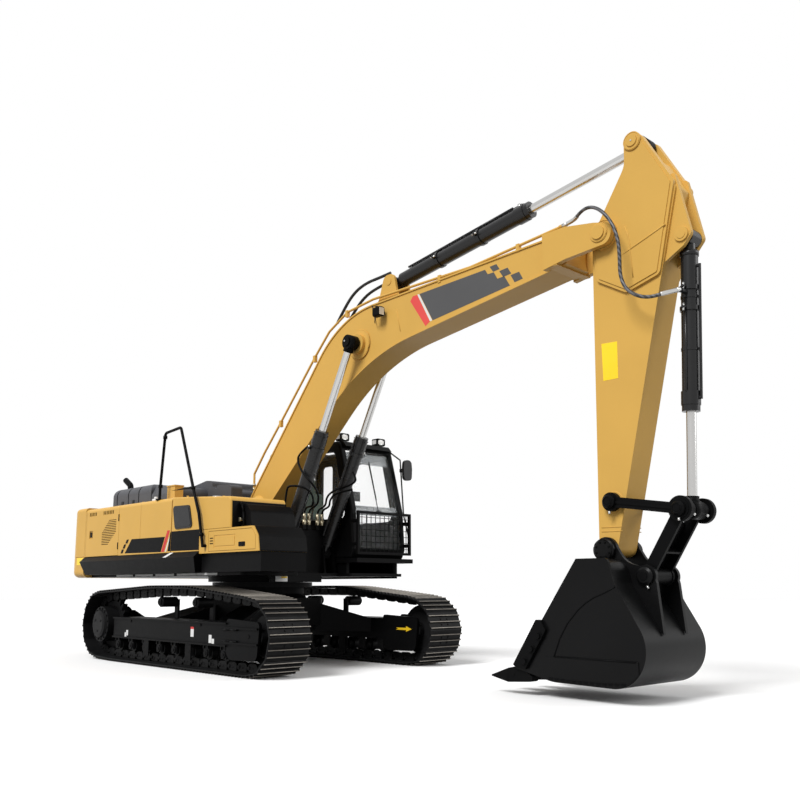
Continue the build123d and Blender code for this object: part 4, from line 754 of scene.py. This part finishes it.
# free hose from the end of the boom's lines, past the arm's pivot, to the bucket cylinder
HOSE_RADIUS = 0.018
LINE_END, LINE_ON = Vector((5.63, -0.175, 4.823)), Vector((70, 0, 8)).normalized()
HOSE_POINTS = [tuple(LINE_END), tuple(LINE_END + LINE_ON * 0.12), (5.86, -0.255, 4.85), (6.0, -0.325, 4.85),
               (6.13, -0.364, 4.8), (6.25, -0.383, 4.69), (6.34, -0.387, 4.54), (6.39, -0.385, 4.37),
               (6.397, -0.385, 4.19), (6.388, -0.38, 4.02), (6.44, -0.383, 3.87), (6.56, -0.385, 3.765),
               (6.7, -0.385, 3.715), (6.835, -0.32, 3.748), (6.8946, -0.187, 3.7906)]
sleeved, sleeve_tree, sleeve_shader = blank_material("spiral_sleeved_hose")
tune(sleeve_shader, {"Roughness": 0.42})
sleeve_where = sleeve_tree.nodes.new("ShaderNodeTexCoord")
sleeve_wave = tune(sleeve_tree.nodes.new("ShaderNodeTexWave"), {"Scale": 11, "Distortion": 1.0})
sleeve_wave.bands_direction = "DIAGONAL"
sleeve_tree.links.new(sleeve_where.outputs["Object"], sleeve_wave.inputs["Vector"])
two_tones(sleeve_tree, sleeve_wave, (0.45, (0.008, 0.008, 0.009)), (0.62, (0.1, 0.1, 0.11)))
tip_hose = add("tip_hose", smooth_tube("tip_hose", HOSE_POINTS, HOSE_RADIUS), "boom_assembly",
               "hose_rubber", sleeved)
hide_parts("arm_hose")
tip_line = centreline("tip_hose_line", HOSE_POINTS)
tip_length = sum((b - a).length for a, b in zip(tip_line, tip_line[1:]))
put_bead(along_line(tip_line, 0.005, 0.2), HOSE_RADIUS + 0.004)
put_rod(tip_line[0] - LINE_ON * 0.03, tip_line[0] + LINE_ON * 0.03, 0.027, 6)
near_piece = finished("tip_hose_near_union", "boom_assembly", "chrome_rod", zinc)
put_bead(along_line(tip_line, tip_length - 0.2, tip_length - 0.004), HOSE_RADIUS + 0.004)
hose_end, end_on = tip_line[-1], (tip_line[-1] - tip_line[-4]).normalized()
put_rod(hose_end - end_on * 0.035, hose_end, 0.026, 6)
far_piece = finished("tip_hose_far_union", "boom_assembly", "chrome_rod", zinc)

# rubber hoses from the boom's pipes over its crank to the arm cylinder
crank_lines = [[(1.78, -0.1, 4.62), (1.95, -0.11, 4.8), (2.16, -0.12, 4.96), (2.4, -0.12, 5.03),
                (2.66, -0.11, 5.04), (2.84, -0.09, 5.06)],
               [(1.84, 0.02, 4.6), (2.02, 0.01, 4.77), (2.24, 0.0, 4.91), (2.48, 0.0, 4.97),
                (2.72, 0.0, 4.99)]]
for i, points in enumerate(crank_lines):
    crank_hose = smooth_tube(f"crank_hose_{i}", points, 0.02)
    add(f"crank_hose_{i}", crank_hose, "boom_assembly", "hose_rubber", rubber)

# -------- cylinders
# Black barrels with end glands, bolted clamp bands and formed steel oil lines that end in pale
# unions; chromed rods with black cast eyes, and a grease nipple on each of the boom's rod eyes.
LIFT_Y, GLAND_RADIUS = 0.35, 0.094


def line_between(base, eye):
    """Gives the places on a cylinder or link, by Y, distance from its first pin and height over it."""
    run = Vector((eye[0] - base[0], 0, eye[1] - base[1])).normalized()

    def place(y, distance, ahead=0.0):
        return Vector((base[0], y, base[1])) + run * distance + Vector((-run.z, 0, run.x)) * ahead

    return place


on_lift = line_between(LIFT_BASE, LIFT_EYE)
on_arm_barrel = line_between(ARM_CYL_BASE, ARM_CYL_EYE)
on_bucket_barrel = line_between(BUCKET_CYL_BASE, LINK_PIN)


def put_hoop(low, high, inner, outer, sides=32):
    """Ring round a barrel, open through its middle, between two points on the barrel's line."""
    on = (high - low).normalized()
    aside = on.orthogonal().normalized()
    above = on.cross(aside)
    loops = []
    for middle, radius in ((low, inner), (low, outer), (high, outer), (high, inner)):
        turns = [2 * pi * i / sides for i in range(sides)]
        loops.append([faces_put.verts.new(middle + (aside * cos(a) + above * sin(a)) * radius)
                      for a in turns])
    for near, far in zip(loops, loops[1:] + loops[:1]):
        for i in range(sides):
            j = (i + 1) % sides
            faces_put.faces.new((near[i], near[j], far[j], far[i]))


def put_band(line, y, distance, radius, ears):
    """Clamp band round a barrel, with bolted ears toward each direction in ears (+1 or -1 across, in Y)."""
    middle, run = line(y, distance), line(y, distance + 0.022) - line(y, distance - 0.022)
    put_hoop(middle - run / 2, middle + run / 2, radius - 0.012, radius + 0.008)
    for ear in ears:
        across = Vector((0, ear, 0))
        near = middle + across * (radius + 0.004)
        bolt = near + across * 0.034
        put_rod(near, near + across * 0.05, 0.018, 4)
        put_rod(bolt - run * 0.8, bolt + run * 0.8, 0.01, 6, index=1)


for name, side in (("right", -1), ("left", 1)):
    y = side * LIFT_Y
    put_band(on_lift, y, 1.52, 0.098, (side,))
    for distance in (1.6, 1.72):
        for turn in range(8):
            a = pi / 4 * turn
            head = on_lift(y + GLAND_RADIUS * cos(a), distance, GLAND_RADIUS * sin(a))
            put_rod(head, head + on_lift(0, 0.012) - on_lift(0, 0), 0.01, 6)
    put_peg(LIFT_BASE, y + side * 0.066, y + side * 0.078, 0.062, 20)
    finished(f"boom_barrel_{name}_fittings", f"boom_barrel_{name}", "black_paint", barrel_black, zinc)
    put_peg(LIFT_EYE, y - 0.0695, y + 0.0695, 0.0935, 32)
    put_peg(LIFT_EYE, y + side * 0.068, y + side * 0.088, 0.062, 24, 0.058)
    put_rod(on_lift(y, 2.872), on_lift(y, 2.958), 0.0655, 24)
    nipple = on_lift(y + side * 0.086, 3.001, 0.02)
    put_rod(nipple, nipple + Vector((0, side * 0.012, 0)), 0.012, 6, index=1)
    finished(f"boom_rod_{name}_eye", f"boom_piston_{name}", "black_paint", black, zinc)

LIFT_LINES = {"boom_barrel_right": [[(1.09, -0.01, 2.04), (1.09, -0.01, 2.12), (1.46, -0.15, 2.14),
                                     (1.48, -0.15, 2.29), (1.72, -0.44, 2.38), (1.53, -0.47, 2.54),
                                     (1.4, -0.47, 2.74), (1.5, -0.47, 2.83), (1.62, -0.46, 2.89)],
                                    [(1.09, -0.09, 2.04), (1.09, -0.09, 2.14), (1.5, -0.25, 2.12),
                                     (1.47, -0.25, 2.29), (1.51, -0.44, 2.37), (1.25, -0.47, 2.4),
                                     (1.18, -0.47, 2.36), (1.14, -0.47, 1.96), (1.12, -0.44, 1.86)]],
              "boom_barrel_left": [[(1.09, 0.14, 2.04), (1.09, 0.14, 2.12), (1.38, 0.05, 2.14),
                                    (1.4, 0.05, 2.28), (1.35, 0.24, 2.39), (1.61, 0.24, 2.41),
                                    (1.79, 0.24, 2.46), (1.78, 0.24, 2.53), (1.72, 0.25, 2.6)],
                                   [(1.09, 0.22, 2.04), (1.09, 0.22, 2.12), (1.38, 0.12, 2.14),
                                    (1.38, 0.12, 2.23), (1.48, 0.14, 2.33), (1.72, 0.24, 2.36)]]}
for body, lines in LIFT_LINES.items():
    for i, points in enumerate(lines):
        add(f"{body}_line_{i}", smooth_tube(f"{body}_line_{i}", points, 0.014), body, "black_paint", black)

for distance in (0.8, 1.48):
    put_band(on_arm_barrel, 0, distance, 0.097, (-1, 1))
for distance in (0.3, 2.08):
    put_rod(on_arm_barrel(0, distance, 0.085), on_arm_barrel(0, distance, 0.135), 0.024, 6, index=1)
put_rod(on_arm_barrel(-0.05, 0.3, 0.1), on_arm_barrel(-0.05, 2.02, 0.1), 0.013, 8)
finished("arm_barrel_fittings", "arm_barrel", "black_paint", barrel_black, zinc)
put_peg(ARM_CYL_EYE, -0.0865, 0.0865, 0.0955, 32)
put_rod(on_arm_barrel(0, 3.535), on_arm_barrel(0, 3.625), 0.0675, 24)
finished("arm_rod_eye", "arm_piston", "black_paint", black)

for distance in (0.5, 0.7):
    put_band(on_bucket_barrel, 0, distance, 0.085, (-1, 1))
put_rod(on_bucket_barrel(0, 0.14), on_bucket_barrel(0, 0.185), 0.088, 32)
put_rod(on_bucket_barrel(-0.085, 0.6), on_bucket_barrel(-0.085, 1.5), 0.012, 10)
put_rod(on_bucket_barrel(0.085, 0.6), on_bucket_barrel(0.12, 0.6), 0.022, 6, index=1)
finished("bucket_barrel_fittings", "bucket_barrel", "black_paint", barrel_black, zinc)
put_peg(LINK_PIN, -0.0835, 0.0835, 0.09, 32)
put_rod(on_bucket_barrel(0, 2.468), on_bucket_barrel(0, 2.555), 0.063, 24)
finished("bucket_rod_eye", "bucket_piston", "black_paint", black)

# -------- arm
# Box-section arm with doubler plates on its head. Weld beads outline the plates and bosses, a blank
# label sits low on the right side, and the pin ends carry flat caps with grease nipples.
ARM_SIDE_Y = 0.165
# seams of the doubler plates on the left side: X, Y, Z
CROSS_SEAM = [(6.0, 0.166, 4.192), (6.2, 0.19, 4.258), (6.412, 0.201, 4.329), (6.6, 0.201, 4.393),
              (6.79, 0.201, 4.462)]
UPRIGHT_SEAM = [(6.349, 0.201, 4.584), (6.385, 0.201, 4.47), (6.399, 0.201, 4.374), (6.405, 0.201, 4.25),
                (6.41, 0.201, 4.15), (6.42, 0.2, 4.03)]
# bosses: pin, Y of the weld bead round it, its radius and the bead's
BOSSES = ((ARM_PIVOT, 0.232, 0.148, 0.004), (ARM_CYL_EYE, 0.214, 0.086, 0.004),
          (IDLER_PIN, 0.1665, 0.099, 0.006), (BUCKET_CYL_BASE, 0.1405, 0.073, 0.004))
for side in (-1, 1):
    for seam, bead in ((CROSS_SEAM, 0.007), (UPRIGHT_SEAM, 0.006)):
        put_bead([(x, side * y, z) for x, y, z in seam], bead)
    for pin, y, radius, bead in BOSSES:
        put_ring(pin, side * y, radius, bead)
    for z in (1.62, 1.58):
        put_bead([(5.93, side * 0.166, z), (6.16, side * 0.166, z)], 0.004)
    put_peg(ARM_CYL_EYE, side * 0.213, side * 0.226, 0.06, 24, 0.057)
    put_peg(BUCKET_CYL_BASE, side * 0.157, side * 0.163, 0.045, 20)
    put_peg(ARM_CYL_EYE, side * 0.226, side * 0.232, 0.009, 6, index=1)
finished("arm_fittings", "dipper", "yellow_paint", yellow, zinc)

put_plate([(6.016, 3.07), (6.185, 3.07), (6.19, 3.44), (6.01, 3.45)], -1, ARM_SIDE_Y)
finished("arm_label", "dipper", "yellow_paint", reflector_yellow)

# -------- bucket linkage and bucket
# Cast links on greased pins with ring caps and an oval pull loop. The bucket has seams where its side
# plate is doubled, a scalloped wear plate below, bolted side cutters, and pinned teeth.
for side in (-1, 1):
    for pin in (IDLER_PIN, LINK_PIN):
        put_ring(pin, side * 0.284, 0.044, 0.004, steps=24)
        put_peg(pin, side * 0.283, side * 0.287, 0.034, 6)
    for x, high, low in ((6.08, 1.768, 1.74), (6.8, 1.665, 1.64)):
        put_post((x, side * 0.25), high, low, 0.012, 6, index=1)
finished("idler_link_caps", "idler_pair", "black_paint", black, zinc)

on_link = line_between(LINK_PIN, H_LINK_PIN)
# pull loops: middle and half length along the link, half width
for middle, reach, half in ((0.215, 0.085, 0.055), (0.55, 0.05, 0.04)):
    turns = [2 * pi * i / 28 for i in range(28)]
    put_bead([on_link(half * cos(a), middle + reach * sin(a), -0.052) for a in turns], 0.008, True)
for y in (-0.12, 0.12):
    put_rod(on_link(y, 0, 0.08), on_link(y, 0, 0.106), 0.012, 6, index=1)
finished("bucket_link_fittings", "h_link", "black_paint", black, zinc)

BUCKET_Y = 0.53
SEAM = [(6.287, 1.05), (6.187, 1.002), (6.053, 0.952), (5.96, 0.9), (5.879, 0.838), (5.752, 0.708),
        (5.658, 0.562), (5.59, 0.403), (5.52, 0.32), (5.476, 0.246)]
for side in (-1, 1):
    put_bead([(x, side * (BUCKET_Y + 0.001), z) for x, z in SEAM], 0.007)
    floor_y = side * (BUCKET_Y + 0.008)
    put_bead([(5.59, floor_y, 0.396), (6.473, floor_y, 0.392)], 0.008)
    for i in range(13):
        x = 5.53 + i * 0.066
        low = 0.165 + max(0.0, 5.75 - x) * 0.05 + max(0.0, x - 6.1) * 0.05
        scallop = [(x, low), (x + 0.038, low), (x + 0.046, low + 0.028), (x - 0.008, low + 0.028)]
        put_plate(scallop, side, BUCKET_Y + 0.007, 0.004)
    put_ring(BUCKET_PIN, side * 0.272, 0.1, 0.004)
    for i in range(8):
        place = round_pin(BUCKET_PIN, 0.076, 2 * pi * (i + 0.5) / 8)
        put_peg(place, side * 0.272, side * 0.282, 0.01, 6)
    put_peg(H_LINK_PIN, side * 0.26, side * 0.268, 0.04, 20)
    put_rod((6.44, side * 0.235, 1.06), (6.455, side * 0.235, 1.035), 0.012, 6, index=1)
finished("bucket_fittings", "bucket_assembly", "black_paint", black, zinc)

for side in (-1, 1):
    for x, z in ((5.433, 0.582), (5.345, 0.455), (5.257, 0.333)):
        put_peg((x, z), side * 0.5655, side * 0.57, 0.046, 24)
        put_peg((x, z), side * 0.57, side * 0.59, 0.03, 6)
WEAR_PAD = ((4.985, 0.13), (5.0, 0.13), (5.01, 0.248), (4.995, 0.248))
for i in range(4):
    y = (BUCKET_Y - 0.062) * (2 * i / 3 - 1)
    put_prism([(x, y - 0.051, z) for x, z in WEAR_PAD], (0, 0.102, 0))
    for side in (-1, 1):
        put_peg((5.075, 0.195), y + side * 0.049, y + side * 0.0535, 0.017, 16)
finished("tooth_and_cutter_bolts", "bucket_assembly", "black_paint", black)

# -------- floor and light
# A pale studio floor that looks white to the eye and gives back little light from below, a wide
# soft lamp high on the machine's right, a weaker one ahead on its left, and an even pale sky.
floor_mesh = bpy.data.meshes.new("floor")
floor_mesh.from_pydata([(-60, -60, 0), (60, -60, 0), (60, 60, 0), (-60, 60, 0)], [], [(0, 1, 2, 3)])
floor = linked("floor", floor_mesh)


def seen_directly(tree):
    """1 for camera, glossy and transmission rays."""
    path = tree.nodes.new("ShaderNodeLightPath")
    total = path.outputs["Is Camera Ray"]
    for kind in ("Is Glossy Ray", "Is Transmission Ray"):
        either = tree.nodes.new("ShaderNodeMath")
        either.operation = "MAXIMUM"
        tree.links.new(total, either.inputs[0])
        tree.links.new(path.outputs[kind], either.inputs[1])
        total = either.outputs["Value"]
    return total


pale, pale_tree, pale_shader = blank_material("floor")
tune(pale_shader, {"Roughness": 0.9})
floor_tone = pale_tree.nodes.new("ShaderNodeMix")
floor_tone.data_type = "RGBA"
tune(floor_tone, {"A": (0.2, 0.2, 0.2, 1), "B": (0.95, 0.95, 0.95, 1)})
pale_tree.links.new(seen_directly(pale_tree), floor_tone.inputs["Factor"])
pale_tree.links.new(floor_tone.outputs["Result"], pale_shader.inputs["Base Color"])
floor_mesh.materials.append(pale)
world = bpy.data.worlds.new("world")
bpy.context.scene.world = world
world.use_nodes = True
sky = tune(world.node_tree.nodes["Background"], {"Color": (1, 1, 1, 1)})
sky_level = tune(world.node_tree.nodes.new("ShaderNodeMapRange"), {"To Min": 0.5, "To Max": 1.0})
world.node_tree.links.new(seen_directly(world.node_tree), sky_level.inputs["Value"])
world.node_tree.links.new(sky_level.outputs["Result"], sky.inputs["Strength"])
LAMPS = (("sun", 3.1, 25, (0.1, -0.72, 0.69)), ("far_panel", 1.0, 35, (0.72, 0.62, 0.4)))
for name, strength, angle, toward in LAMPS:
    lamp = bpy.data.lights.new(name, "SUN")
    lamp.energy = strength
    lamp.angle = radians(angle)
    linked(name, lamp).rotation_euler = Vector(toward).to_track_quat("Z", "Y").to_euler()
bpy.context.scene.view_settings.view_transform = "Standard"
